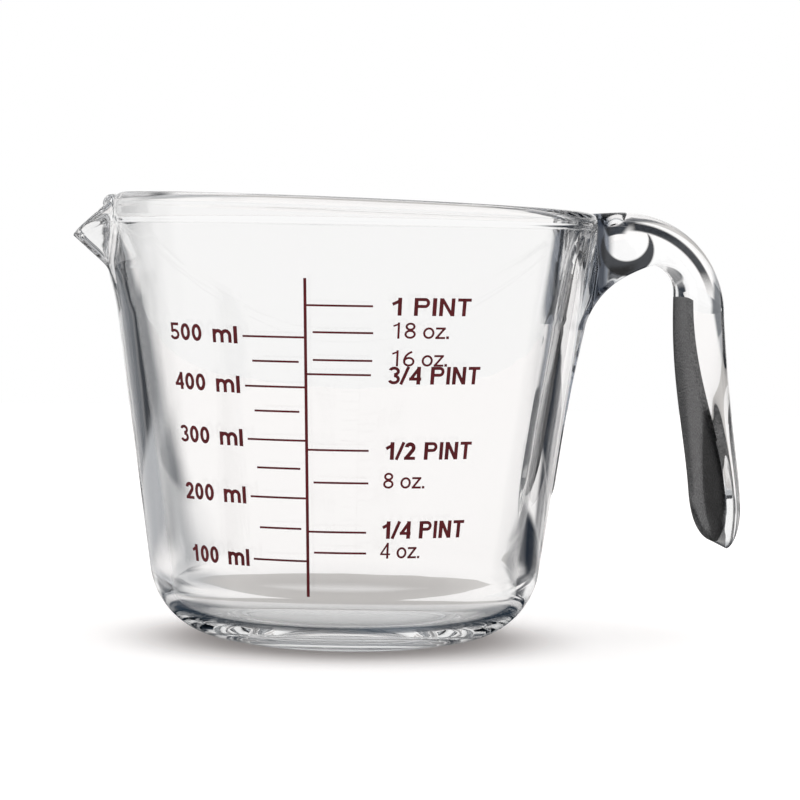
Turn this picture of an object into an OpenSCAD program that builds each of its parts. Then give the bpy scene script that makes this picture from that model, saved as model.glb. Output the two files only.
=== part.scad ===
// Pressed glass measuring jug with a fired enamel scale.
// Millimetres, +Z up. The origin is the middle of the foot, on the axis of the bowl.
// The handle points along +X, the pouring lip along -X, and the scale faces -Y.

/* [Bowl] */
// Height of the rim above the table, on the bowl's axis
rim_h = 109.6; // [104:0.1:125]
// Lean of the rim, which rises towards the lip, in degrees
rim_lean = 1.5; // [0:0.1:2.5]
// Outer radius that the sloping wall would have down at the table
wall_foot_r = 46.5; // [44:0.1:52]
// Slope of the outer wall from upright, in degrees
wall_slope = 8.1; // [6:0.1:10]
// Thickness that the wall would have down at the table
wall_low_t = 5.4; // [4.5:0.1:6.5]
// Thickness of the wall at the rim
wall_top_t = 4.1; // [3.5:0.1:5]
// Outside radius of the rounded heel between wall and foot
heel_r = 19.7; // [14:0.1:21]
// Height of the inside floor above the table
floor_h = 6.5; // [5:0.1:9]
// Radius of the corner between the inside floor and the wall
floor_corner_r = 9.9; // [6:0.1:14]

/* [Collar] */
// Height of the thicker collar under the rim
collar_h = 5.8; // [4:0.1:9]
// How far the collar stands out from the wall
collar_proud = 0.6; // [0.3:0.1:1]
// Radius of each rounded edge of the rim
rim_edge_r = 2.3; // [1.5:0.1:2.4]

/* [Foot] */
// How far the foot ring that the jug stands on stays inside the start of the heel's curve
foot_inset = 0.5; // [0.3:0.1:9]
// Width of the foot ring
foot_w = 4; // [2:0.1:8]
// Height of the foot ring under the heel
foot_lift = 0.6; // [0.3:0.1:1.2]
// Rise of the hollow underside at its middle
hollow_h = 1.6; // [1.3:0.1:2.5]

/* [Lip] */
// How far the tip of the pouring lip stands out from the throat
lip_out = 8.4; // [5:0.1:11]
// Distance of the lip's tip below the height of the rim
lip_tip_drop = 9.7; // [7.6:0.1:11.6]
// Distance below the rim at which the underside of the lip leaves the wall
lip_root_drop = 16.1; // [14.6:0.1:18.6]
// Half of the width of the lip where it leaves the rim
lip_half_w = 9.5; // [9:0.1:15]
// Depth of the dip in the rim at the lip
dip_h = 2.9; // [1.5:0.1:3.5]
// Half of the width of the dip in the rim
dip_half_w = 18; // [18:0.5:32]
// Thickness of the lip's walls
lip_t = 1.8; // [1.4:0.1:2.2]
// Radius of the upright throat that leads to the lip
throat_r = 46.8; // [45:0.1:48]
// How far the throat's outside stays behind the round of the rim
throat_sink = 0.9; // [0.5:0.1:1.7]
// Thickness of the throat's wall
throat_t = 4.4; // [3.6:0.1:5]
// Distance below the rim at which the throat's bulge starts on the outside
throat_low_drop = 25.1; // [22.6:0.1:27.6]
// Radius of the rounded bottom of the throat
throat_round_r = 8; // [4:0.1:8]

/* [Handle] */
// Distance of the top of the handle below the height of the rim
handle_top_drop = 0.8; // [0.2:0.1:2.1]
// Radius of the bend over the top of the handle
bend_r = 26.6; // [24:0.1:28]
// Distance of the bend's centre from the bowl's axis
bend_x = 71.7; // [69:0.1:76]
// Thickness of the arm over the finger gap
arm_t = 13.3; // [11.5:0.1:15.5]
// Distance of the top of the finger gap from the bowl's axis
gap_x = 79.5; // [76:0.1:82]
// Height of the arch over the finger gap beside the bowl
gap_arch_h = 17.5; // [14:0.1:20]
// Radius of the finger gap's corner in the crook of the handle
crook_r = 7; // [5:0.1:10]
// Thickness of the grip at its top
grip_top_t = 11.8; // [9:0.1:14]
// Thickness of the grip at its free end
grip_end_t = 7.3; // [6:0.1:10]
// Width of the arm and of the top of the grip
arm_w = 14.5; // [12:0.1:18]
// Width of the grip near its free end
grip_end_w = 32; // [22:0.1:36]
// How far the grip leans out from its top to its free end
grip_lean = 3.6; // [2:0.1:7]
// Height of the free end of the handle above the table
handle_low_z = 22.3; // [16:0.1:32]
// Height of the rounded free end of the grip
grip_round_h = 13.7; // [11:0.1:18]
// How far the rib under the arm stands out from the wall at its top
rib_top_proud = 3.8; // [3:0.1:6]
// How far the rib stands out from the wall near its lower end
rib_low_proud = 2.3; // [1.6:0.1:2.9]
// Width of the rib under the arm
rib_w = 11; // [8:0.1:14]
// Height of the lower end of the rib above the table
rib_low_z = 31; // [26:0.1:40]

/* [Scale] */
// Thickness of the fired enamel
enamel_t = 0.12; // [0.08:0.01:0.3]
// Angle of the upright scale line from the front, towards the lip
scale_turn = 20.6; // [10:0.1:25]
// Width of the upright scale line
scale_line_w = 0.7; // [0.4:0.05:1.2]
// Height of the upright line's lower end
scale_low_z = 15.4; // [13:0.1:18]
// Height of the upright line's upper end
scale_high_z = 91; // [88:0.1:94]
// Width of the marks
mark_w = 0.48; // [0.3:0.02:0.7]
// Angle that a long mark covers
long_mark_turn = 15.2; // [10:0.1:16]
// Angle that a short millilitre mark covers
short_mark_turn = 11.6; // [8:0.1:13]
// Angle of the gap between the upright line and a short mark
short_mark_gap = 1.7; // [1:0.1:3]

/* [Lettering] */
// Height of the millilitre figures
metric_h = 4.1; // [3:0.1:4.6]
// Stroke of the millilitre figures
metric_stroke = 0.85; // [0.5:0.05:0.95]
// Height of the pint figures
pint_h = 4.2; // [3:0.1:4.4]
// Stroke of the pint figures
pint_stroke = 0.92; // [0.5:0.02:1]
// Height of the ounce figures
ounce_h = 3.8; // [3:0.1:4]
// Stroke of the ounce figures
ounce_stroke = 0.5; // [0.3:0.02:0.65]
// Angle between the upright line and the end of the millilitre labels
metric_label_turn = 17; // [16.2:0.1:18]
// Angle between the upright line and the start of the pint and ounce labels
imperial_label_turn = 19.6; // [18:0.1:21]

/* [Hidden] */
$fn = 128;

glass_colour = [0.80, 0.87, 0.89];
enamel_colour = [0.36, 0.12, 0.13];

// Outer and inner radius of the plain wall at a height
wall_grow = tan(wall_slope);
function outer_r(z) = wall_foot_r + wall_grow * z;
bore_foot_r = wall_foot_r - wall_low_t;
bore_grow = wall_grow + (wall_low_t - wall_top_t) / rim_h;
function bore_r(z) = bore_foot_r + bore_grow * z;
bore_slope = atan(bore_grow);

// The heel arc touches the wall and a plane just above the table
heel_z = foot_lift + heel_r;
heel_x = outer_r(heel_z) - heel_r / cos(wall_slope);
heel_steps = 14;

// The corner arc touches the floor and the bore
corner_z = floor_h + floor_corner_r;
corner_x = bore_r(corner_z) - floor_corner_r / cos(bore_slope);
corner_top_z = corner_z - floor_corner_r * sin(bore_slope);
corner_steps = 10;

// Small shapes of the foot ring
foot_edge = 0.3;
foot_r = heel_x - foot_inset;
foot_in_r = foot_r - foot_w;
foot_step = 0.9;

// How far a cutter or a blank runs past the surface that trims it
overrun = 6;
rim_steps = 8;
rim_out_r = outer_r(rim_h) + collar_proud;
rim_in_r = bore_r(rim_h);
collar_low_z = rim_h - collar_h;

// Points of an arc from angle a0 to a1 about c, with radii r.x and r.y
function arc_points(c, r, a0, a1, steps) =
    [for (i = [0:steps]) let (a = a0 + (a1 - a0) * i / steps) [c.x + r.x * cos(a), c.y + r.y * sin(a)]];

// Outline of the jug's outside, from the middle of the underside to above the rim
module outside_outline() {
    polygon(concat(
        [[0, hollow_h], [foot_in_r, foot_step], [foot_in_r + foot_step, 0],
         [foot_r - foot_edge, 0], [foot_r, foot_edge], [foot_r, foot_lift]],
        arc_points([heel_x, heel_z], [heel_r, heel_r], -90, -wall_slope, heel_steps),
        [[outer_r(collar_low_z), collar_low_z],
         [outer_r(collar_low_z) + collar_proud, collar_low_z + collar_proud],
         [outer_r(rim_h + overrun) + collar_proud, rim_h + overrun],
         [0, rim_h + overrun]]));
}

// Outline of the bore, from the floor to above the rim
module bore_outline() {
    polygon(concat(
        [[0, floor_h]],
        arc_points([corner_x, corner_z], [floor_corner_r, floor_corner_r],
                   -90, -bore_slope, corner_steps),
        [[bore_r(rim_h + overrun), rim_h + overrun], [0, rim_h + overrun]]));
}

// Puts a shape that was drawn about the rim's plane onto the leaning rim
module on_rim() {
    translate([0, 0, rim_h]) rotate([0, rim_lean, 0]) children();
}

// Blank that trims the outside to the leaning rim and rounds its outer edge
module rim_cap() {
    cap_r = rim_out_r + overrun;
    on_rim() rotate_extrude() polygon(concat(
        [[0, -rim_h - overrun], [cap_r, -rim_h - overrun], [cap_r, -rim_edge_r]],
        arc_points([rim_out_r - rim_edge_r, -rim_edge_r], [rim_edge_r, rim_edge_r], 0, 90, rim_steps),
        [[0, 0]]));
}

// Cutter that rounds the inner edge of the rim
module rim_flare() {
    on_rim() rotate_extrude() polygon(concat(
        [[0, overrun], [0, -rim_edge_r]],
        arc_points([rim_in_r + rim_edge_r, -rim_edge_r], [rim_edge_r, rim_edge_r], 180, 90, rim_steps),
        [[rim_in_r + rim_edge_r, overrun]]));
}

// The jug's outside without throat, lip or handle, filled solid
module wall_blank() {
    intersection() {
        rotate_extrude() outside_outline();
        rim_cap();
    }
}

// The throat is a short upright wall in front of the lip, about an axis nearer the lip
throat_reach = outer_r(rim_h) - throat_sink;
lip_reach = throat_reach + lip_out;
throat_x = throat_r - throat_reach;
throat_in_r = throat_r - throat_t;
throat_in_top_r = throat_r - throat_t / 2;
throat_low_z = rim_h - throat_low_drop;
throat_in_low_z = throat_low_z + throat_t;

module throat_outside() {
    top_z = rim_h - rim_edge_r;
    translate([throat_x, 0, 0]) rotate_extrude() polygon(concat(
        [[0, throat_low_z]],
        arc_points([throat_r - throat_round_r, throat_low_z + throat_round_r],
                   [throat_round_r, throat_round_r], -90, 0, corner_steps),
        [[throat_r, top_z], [0, top_z]]));
}

module throat_bore() {
    translate([throat_x, 0, 0]) rotate_extrude() polygon(concat(
        [[0, throat_in_low_z]],
        arc_points([throat_in_r - throat_round_r, throat_in_low_z + throat_round_r],
                   [throat_round_r, throat_round_r], -90, 0, corner_steps),
        [[throat_in_top_r, rim_h + overrun], [0, rim_h + overrun]]));
}

// The lip is a beak between six balls, and its channel is the same beak set up and in
lip_tip_z = rim_h - lip_tip_drop;
lip_root_z = rim_h - lip_root_drop;
lip_ball_r = 1.6;
channel_ball_r = 0.8;
lip_root_share = 0.4;
lip_root_x = throat_reach - lip_ball_r - lip_root_share * lip_t;
lip_rim_x = throat_reach - lip_ball_r;
lip_rim_z = rim_h - rim_edge_r;
lip_tip_x = lip_reach - lip_ball_r;
lip_bulge = lip_t / 4;
lip_mid_x = (lip_tip_x + lip_rim_x) / 2 + lip_bulge;
lip_mid_z = (lip_tip_z + lip_rim_z) / 2 + lip_bulge;
lip_balls = [
    [-lip_tip_x, 0, lip_tip_z],
    [-lip_root_x, 0, lip_root_z],
    [-lip_mid_x, lip_half_w / 2, lip_mid_z],
    [-lip_mid_x, -lip_half_w / 2, lip_mid_z],
    [-lip_rim_x, lip_half_w, lip_rim_z],
    [-lip_rim_x, -lip_half_w, lip_rim_z],
];
channel_in_share = 0.56;
channel_up_share = 1.22;
channel_shift = [channel_in_share * lip_t, 0, channel_up_share * lip_t];
channel_run = 2 * overrun;

module lip_outside() {
    hull() for (p = lip_balls) translate(p) sphere(lip_ball_r, $fn = 24);
}

module lip_channel() {
    hull() for (p = lip_balls, run = [[0, 0, 0], [0, 0, channel_run], [channel_run, 0, 0]])
        translate(p + channel_shift + run) sphere(channel_ball_r, $fn = 20);
}

// Cutter for the shallow dip in the rim at the lip, a cylinder that lies along X
module rim_dip() {
    dip_top_z = rim_h + throat_reach * sin(rim_lean);
    dip_r = (dip_half_w * dip_half_w + dip_h * dip_h) / (2 * dip_h);
    translate([-lip_reach, 0, dip_top_z - dip_h + dip_r]) rotate([0, 90, 0])
        cylinder(h = lip_reach - throat_in_r, r = dip_r);
}

module bowl() {
    color(glass_colour) difference() {
        union() {
            wall_blank();
            throat_outside();
            lip_outside();
        }
        rotate_extrude() bore_outline();
        throat_bore();
        rim_flare();
        lip_channel();
        rim_dip();
    }
}

// Values from 0 to 1 with a soft start and end
function ease(t) = t * t * (3 - 2 * t);
function mix(a, b, t) = a + (b - a) * t;

// The handle is a loft through slices. Each slice runs from the side that faces the
// finger gap to the far side, and is given as [gap point, far point, width] in the XZ plane.
handle_top_z = rim_h - handle_top_drop;
gap_top_z = handle_top_z - arm_t;
bend_z = handle_top_z - bend_r;
crook_z = gap_top_z - crook_r;
arch_z = gap_top_z - gap_arch_h;
grip_top_x = bend_x + bend_r;
grip_near_x = grip_top_x - grip_top_t;
grip_low_z = handle_low_z + grip_round_h;
crest_x = (bore_r(handle_top_z) + outer_r(handle_top_z) + collar_proud) / 2;
crest_sink = rim_edge_r / 6;
rib_seat = wall_top_t / 2;
rib_shoulder_h = rib_w * 3 / 4;
rib_curve_power = 3.6;
rib_tip_share = 0.3;

function rib_x(z) = outer_r(z) + mix(rib_low_proud, rib_top_proud,
                                     pow((z - rib_low_z) / (arch_z - rib_low_z), rib_curve_power));
function rib_seat_x(z) = outer_r(z) - rib_seat;

// Rib: it swells out of the wall over its shoulder and runs up to the arch
rib_shares = [0, 0.03, 0.07, 0.12, 0.17, 0.3, 0.45, 0.6, 0.72, 0.82, 0.9, 0.96];
function rib_slice(t) =
    let (z = mix(rib_low_z, arch_z, t),
         swell = sin(90 * min(1, (z - rib_low_z) / rib_shoulder_h)),
         front = mix(rib_seat_x(z) + rib_seat / 10, rib_x(z), swell))
    [[front, z], [rib_seat_x(z), z], rib_w * mix(rib_tip_share, 1, swell)];

// Arch: from the rib, round the top of the gap beside the bowl, to the top of the arm
arch_steps = 9;
arch_power = 1.235;
arch_far_turn = 178;
arch_near_turn = 93;
function arch_slice(i) =
    let (t = i / arch_steps, a = mix(arch_far_turn, arch_near_turn, t),
         rise = min(1, 2 * t), run = max(0, 2 * t - 1))
    [[gap_x - (gap_x - rib_x(arch_z)) * pow(-cos(a), arch_power),
      arch_z + gap_arch_h * pow(sin(a), arch_power)],
     [mix(mix(rib_seat_x(arch_z), crest_x, rise), bend_x, run),
      mix(mix(arch_z, handle_top_z - crest_sink, rise), handle_top_z, run)],
     mix(rib_w, arm_w, ease(t))];

// Bend: over the crook of the handle
bend_steps = 9;
bend_far_turn = 88;
function bend_slice(i) =
    let (a = mix(bend_far_turn, 0, i / bend_steps))
    [[gap_x + (grip_near_x - gap_x) * cos(a), crook_z + crook_r * sin(a)],
     [bend_x + bend_r * cos(a), bend_z + bend_r * sin(a)],
     arm_w];

// Grip: it leans out, widens and gets thinner
grip_steps = 9;
grip_bow_share = 0.88;
grip_bow_power = 1.25;
grip_bow_h = grip_bow_share * (crook_z - handle_low_z);
function grip_bow(z) = pow(ease(min(1, (crook_z - z) / grip_bow_h)), grip_bow_power);
function near_x(z) = mix(grip_near_x, grip_top_x + grip_lean - grip_end_t, grip_bow(z));
function far_x(z) = grip_top_x + grip_lean * (bend_z - z) / (bend_z - grip_low_z);
function grip_slice(i) =
    let (t = i / grip_steps, near_z = mix(crook_z, grip_low_z, t), far_z = mix(bend_z, grip_low_z, t))
    [[near_x(near_z), near_z], [far_x(far_z), far_z], mix(arm_w, grip_end_w, ease(t))];

// End: the grip closes in a round tip
tip_steps = 7;
tip_turn = 86;
tip_gap_share = 0.84;
tip_near_share = 0.22;
tip_far_share = 0.11;
function tip_slice(i) =
    let (a = tip_turn * i / tip_steps,
         near_z = grip_low_z - tip_gap_share * grip_round_h * sin(a),
         far_z = grip_low_z - grip_round_h * sin(a))
    [[near_x(near_z) + tip_near_share * grip_end_t * (1 - cos(a)), near_z],
     [far_x(far_z) + tip_far_share * grip_end_t * (1 - cos(a)), far_z],
     grip_end_w * cos(a)];

handle_slices = concat(
    [for (t = rib_shares) rib_slice(t)],
    [for (i = [0:arch_steps]) arch_slice(i)],
    [for (i = [0:bend_steps]) bend_slice(i)],
    [for (i = [1:grip_steps]) grip_slice(i)],
    [for (i = [1:tip_steps]) tip_slice(i)]);

// Outline of a slice: flat with round corners towards the gap, crowned on the far side
slice_points = 20;
edge_share = 0.36;
corner_power = 0.2;
function slice_ring(slice) =
    [for (k = [0:slice_points - 1])
        let (a = 360 * k / slice_points, c = cos(a), s = sin(a),
             across = s >= 0 ? c : sign(c) * pow(abs(c), corner_power),
             depth = s >= 0 ? mix(edge_share, 1, s) : edge_share * (1 - pow(-s, corner_power)),
             p = mix(slice[0], slice[1], depth))
        [p[0], across * slice[2] / 2, p[1]]];

module handle_loft() {
    rings = len(handle_slices);
    points = [for (slice = handle_slices, p = slice_ring(slice)) p];
    sides = [for (j = [0:rings - 2], k = [0:slice_points - 1], half = [0, 1])
        let (a = j * slice_points + k, b = j * slice_points + (k + 1) % slice_points)
        half == 0 ? [a, b, b + slice_points] : [a, b + slice_points, a + slice_points]];
    first = [for (k = [slice_points - 1:-1:0]) k];
    last = [for (k = [0:slice_points - 1]) (rings - 1) * slice_points + k];
    polyhedron(points, concat([first], sides, [last]), convexity = 6);
}

module handle() {
    color(glass_colour) difference() {
        handle_loft();
        wall_blank();
    }
}

// The marks stand where the bowl holds their volumes, so their heights come from the bore.
// Volume up to the top of the floor's corner arc, then the sloping bore above it.
function corner_volume(u) =
    corner_x * corner_x * u + floor_corner_r * floor_corner_r * u - pow(u, 3) / 3
    + corner_x * (u * sqrt(floor_corner_r * floor_corner_r - u * u)
                  + floor_corner_r * floor_corner_r * asin(u / floor_corner_r) * PI / 180);
corner_fill = PI * (corner_volume(-floor_corner_r * sin(bore_slope)) - corner_volume(-floor_corner_r));
// Side of the cube that holds one millilitre
ml_cube_w = 10;
function fill_z(ml) =
    (pow(3 * bore_grow * (ml * pow(ml_cube_w, 3) - corner_fill) / PI + pow(bore_r(corner_top_z), 3), 1 / 3)
     - bore_foot_r) / bore_grow;
// Two marks are printed a little above their volume
lifted_mark_ml = 350;
ml_mark_lift = 0.8 * mark_w;
quarter_pint_lift = 1.3 * mark_w;
pint_ml = 568.26;
ounce_ml = 28.413;

// Radius of the outside at a height, with the collar and the slope at its lower edge
function face_r(z) = outer_r(z) + min(collar_proud, max(0, z - collar_low_z));

// A thin skin of enamel on the outside, between two heights and two angles from the front.
// Angles grow from the lip towards the handle.
module skin(low_z, high_z, from, to) {
    levels = [for (z = [low_z, collar_low_z, collar_low_z + collar_proud, high_z])
        if (z >= low_z && z <= high_z) z];
    rotate([0, 0, from - 90]) rotate_extrude(angle = to - from, $fn = 256) polygon(concat(
        [for (z = levels) [face_r(z), z]],
        [for (i = [len(levels) - 1:-1:0]) [face_r(levels[i]) + enamel_t, levels[i]]]));
}

module mark(z, from, to) {
    skin(z - mark_w / 2, z + mark_w / 2, from, to);
}

// Half of the upright line's width as an angle at a height
function half_line_turn(z) = asin(scale_line_w / 2 / outer_r(z));

module scale_line() {
    line_cut_r = 2 * outer_r(scale_high_z);
    color(enamel_colour) intersection() {
        skin(scale_low_z, scale_high_z, -scale_turn - short_mark_gap, -scale_turn + short_mark_gap);
        rotate([0, 0, -scale_turn]) translate([-scale_line_w / 2, -line_cut_r, 0])
            cube([scale_line_w, line_cut_r, scale_high_z + overrun]);
    }
}

module hundred_ml_marks() {
    color(enamel_colour) for (ml = [100:100:500]) {
        z = fill_z(ml);
        end = -scale_turn - half_line_turn(z);
        mark(z, end - long_mark_turn, end);
    }
}

module fifty_ml_marks() {
    color(enamel_colour) for (ml = [150:100:450])
        mark(fill_z(ml) + (ml == lifted_mark_ml ? ml_mark_lift : 0),
             -scale_turn - short_mark_gap - short_mark_turn, -scale_turn - short_mark_gap);
}

module pint_marks() {
    color(enamel_colour) for (share = [1 / 4, 1 / 2, 3 / 4, 1]) {
        z = fill_z(share * pint_ml) + (share == 1 / 4 ? quarter_pint_lift : 0);
        start = -scale_turn + half_line_turn(z);
        mark(z, start, start + long_mark_turn);
    }
}

ounce_mark_end = long_mark_turn + short_mark_gap / 3;
module ounce_marks() {
    color(enamel_colour) for (ounces = [4, 8, 16, 18])
        mark(fill_z(ounces * ounce_ml), -scale_turn + short_mark_gap, -scale_turn + ounce_mark_end);
}

// Strokes for the figures and letters
glyph_steps = 10;
loop_steps = 18;
module bow(c, r, from, to, stroke) {
    polygon(concat(arc_points(c, r, from, to, glyph_steps),
                   arc_points(c, r - [stroke, stroke], to, from, glyph_steps)));
}
module loop(c, r, stroke) {
    difference() {
        polygon(arc_points(c, r, 0, 360 - 360 / loop_steps, loop_steps - 1));
        polygon(arc_points(c, r - [stroke, stroke], 0, 360 - 360 / loop_steps, loop_steps - 1));
    }
}
module bar(p, q, stroke) {
    d = (q - p) / norm(q - p) * stroke / 2;
    polygon([p + [d.y, -d.x], q + [d.y, -d.x], q + [-d.y, d.x], p + [-d.y, d.x]]);
}
module stem(x, low, high, stroke) {
    translate([x, low]) square([stroke, high - low]);
}
module beam(y, from, to, stroke) {
    translate([from, y]) square([to - from, stroke]);
}

// A lettering: height, stroke, gap as a share of the height, part of its cell that a 1 fills,
// and the width of each glyph as a share of the height
glyph_names = "01234568/mlPINToz. ";
metric_width_shares = [
    0.74, 0.74, 0.74, 0.74, 0.74, 0.74, 0.74, 0.74, 0, 1.28, 0.24, 0, 0, 0, 0, 0, 0, 0, 0.52];
pint_width_shares = [
    0.7, 0.68, 0.69, 0.72, 0.72, 0.7, 0.7, 0.7, 0.22, 0, 0, 0.84, 0.22, 0.87, 0.8, 0, 0, 0, 0.25];
ounce_width_shares = [
    0.7, 0.85, 0.72, 0.72, 0.72, 0.72, 0.74, 0.72, 0, 0, 0, 0, 0, 0, 0, 0.74, 0.65, 0.17, 0.3];
metric_gap_share = 0.15;
pint_gap_share = 0.16;
ounce_gap_share = 0.085;
metric_one_share = 0.65;
pint_one_share = 0.72;
ounce_one_share = 0.47;
metric_font = [metric_h, metric_stroke, metric_gap_share, metric_one_share, metric_width_shares];
pint_font = [pint_h, pint_stroke, pint_gap_share, pint_one_share, pint_width_shares];
ounce_font = [ounce_h, ounce_stroke, ounce_gap_share, ounce_one_share, ounce_width_shares];
m_height_share = 0.78;
o_height_share = 0.72;
thin_share = 0.8;
slash_share = 0.1;

function glyph_width(ch, font) = font[4][search(ch, glyph_names)[0]];
// Place of glyph i along a label, as a share of the figures' height
function glyph_start(line, font, i) =
    i == 0 ? 0 : glyph_start(line, font, i - 1) + glyph_width(line[i - 1], font) + font[2];
function label_width(line, font) = glyph_start(line, font, len(line)) - font[2];

// One figure or letter, w wide and h high, standing on the X axis from x = 0
module glyph(ch, w, h, stroke, one_share) {
    thin = thin_share * stroke;
    low_h = h * (ch == "m" ? m_height_share : o_height_share);
    if (ch == "0") loop([w / 2, h / 2], [w / 2, h / 2], stroke);
    if (ch == "1") {
        one_w = one_share * w;
        one_x = (w - one_w) / 2;
        stem(one_x + one_w - stroke, 0, h, stroke);
        bar([one_x, h - 1.7 * stroke], [one_x + one_w - stroke / 2, h - thin], thin);
    }
    if (ch == "2") {
        bow([w / 2, h - w / 2], [w / 2, w / 2], 170, -40, stroke);
        bar([w / 2 + (w / 2 - stroke / 2) * cos(40), h - w / 2 - (w / 2 - stroke / 2) * sin(40)],
            [stroke / 2, thin / 2], stroke);
        beam(0, 0, w, thin);
    }
    if (ch == "3") {
        bow([w / 2, 0.73 * h], [0.47 * w, 0.27 * h], 160, -90, thin);
        bow([w / 2, 0.29 * h], [w / 2, 0.29 * h], 90, -160, thin);
    }
    if (ch == "4") {
        stem(0.62 * w, 0, h, stroke);
        bar([thin / 2, 0.3 * h], [0.62 * w + stroke / 2, h - thin / 2], thin);
        beam(0.22 * h, 0, w, thin);
    }
    if (ch == "5") {
        beam(h - thin, 0.12 * w, 0.94 * w, thin);
        stem(0.1 * w, 0.45 * h, h, thin);
        bow([0.46 * w, 0.32 * h], [0.54 * w, 0.32 * h], 140, -160, thin);
    }
    if (ch == "6") {
        loop([w / 2, 0.3 * h], [w / 2, 0.3 * h], stroke);
        bow([1.05 * w, 0.34 * h], [1.05 * w, 0.66 * h], 182, 108, stroke);
    }
    if (ch == "8") {
        loop([w / 2, 0.75 * h], [0.44 * w, 0.25 * h], stroke);
        loop([w / 2, 0.28 * h], [w / 2, 0.28 * h], stroke);
    }
    if (ch == "/") bar([-slash_share * h, 0], [w + slash_share * h, h], thin);
    if (ch == "m") {
        stem(0, 0, low_h, stroke);
        for (x = [0, (w - stroke) / 2]) {
            reach = (w + stroke) / 4;
            bow([x + reach, low_h - reach], [reach, reach], 180, 0, stroke);
            stem(x + 2 * reach - stroke, 0, low_h - reach, stroke);
        }
    }
    if (ch == "l") stem(0, 0, h, w);
    if (ch == "P") {
        stem(0, 0, h, stroke);
        beam(h - thin, stroke / 2, w - 0.28 * h, thin);
        beam(0.44 * h, stroke / 2, w - 0.28 * h, thin);
        bow([w - 0.28 * h, 0.72 * h], [0.28 * h, 0.28 * h], 90, -90, thin);
    }
    if (ch == "I") stem(0, 0, h, w);
    if (ch == "N") {
        stem(0, 0, h, stroke);
        stem(w - stroke, 0, h, stroke);
        polygon([[0, h], [stroke, h], [w, 0], [w - stroke, 0]]);
    }
    if (ch == "T") {
        stem((w - stroke) / 2, 0, h, stroke);
        beam(h - thin, 0, w, thin);
    }
    if (ch == "o") loop([w / 2, low_h / 2], [w / 2, low_h / 2], stroke);
    if (ch == "z") {
        beam(0, 0, w, stroke);
        beam(low_h - stroke, 0, w, stroke);
        bar([stroke / 2, stroke / 2], [w - stroke / 2, low_h - stroke / 2], stroke);
    }
    if (ch == ".") stem(0, 0, w, w);
}

// A label whose figures stand on height z and start at an angle from the front. It may be
// stretched, and may rise towards its start. The printing narrows with the wall.
module label(line, z, start, font, stretch_share = 1, rise_share = 0) {
    h = font[0];
    turn = stretch_share * h / outer_r(fill_z(500)) * 180 / PI;
    color(enamel_colour) for (i = [0:len(line) - 1]) if (line[i] != " ") {
        w = glyph_width(line[i], font);
        from = glyph_start(line, font, i);
        foot_z = z + rise_share * h * (label_width(line, font) - from);
        glyph_w = stretch_share * w * h * outer_r(z) / outer_r(fill_z(500));
        intersection() {
            skin(foot_z - h / 4, foot_z + h + h / 4,
                 start + (from - 1) * turn, start + (from + w + 1) * turn);
            rotate([0, 0, start + (from + w / 2) * turn]) rotate([90, 0, 0])
                translate([-glyph_w / 2, foot_z, 0])
                linear_extrude(2 * outer_r(z))
                glyph(line[i], glyph_w, h, font[1], font[3]);
        }
    }
}

// Distance of each label's foot below its mark, and other small shifts of the printing
metric_drop = metric_h * 0.45;
pint_drop = pint_h * 0.5;
quarter_pint_drop = pint_h * 0.2;
ounce_drop = ounce_h * 0.32;
rise_per_ml_share = 0.00004;
top_stretch_share = 1.06;

module metric_label(line, ml) {
    label(line, fill_z(ml) - metric_drop,
          -scale_turn - metric_label_turn
          - label_width(line, metric_font) * metric_h / outer_r(fill_z(500)) * 180 / PI,
          metric_font, 1, rise_per_ml_share * ml);
}

module pint_label(line, share, drop, stretch_share = 1) {
    label(line, fill_z(share * pint_ml) - drop, -scale_turn + imperial_label_turn,
          pint_font, stretch_share);
}

module ounce_label(line, ounces) {
    label(line, fill_z(ounces * ounce_ml) - ounce_drop, -scale_turn + imperial_label_turn, ounce_font);
}

bowl();
handle();
scale_line();
hundred_ml_marks();
fifty_ml_marks();
pint_marks();
ounce_marks();
metric_label("500 ml", 500);  // label_500_ml
metric_label("400 ml", 400);  // label_400_ml
metric_label("300 ml", 300);  // label_300_ml
metric_label("200 ml", 200);  // label_200_ml
metric_label("100 ml", 100);  // label_100_ml
pint_label("1 PINT", 1, pint_drop, top_stretch_share);  // label_1_pint
pint_label("3/4 PINT", 3 / 4, pint_drop);  // label_3_4_pint
pint_label("1/2 PINT", 1 / 2, pint_drop);  // label_1_2_pint
pint_label("1/4 PINT", 1 / 4, quarter_pint_drop);  // label_1_4_pint
ounce_label("18 oz.", 18);  // label_18_oz
ounce_label("16 oz.", 16);  // label_16_oz
ounce_label("8 oz.", 8);  // label_8_oz
ounce_label("4 oz.", 4);  // label_4_oz
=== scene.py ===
"""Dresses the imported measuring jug: clear pressed glass with a fired enamel scale, in a white studio."""

from __future__ import annotations

import logging
import math
from dataclasses import dataclass, field
from enum import Enum
from typing import NamedTuple, Union

import bmesh
import bpy
from mathutils import Matrix, Vector

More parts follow.
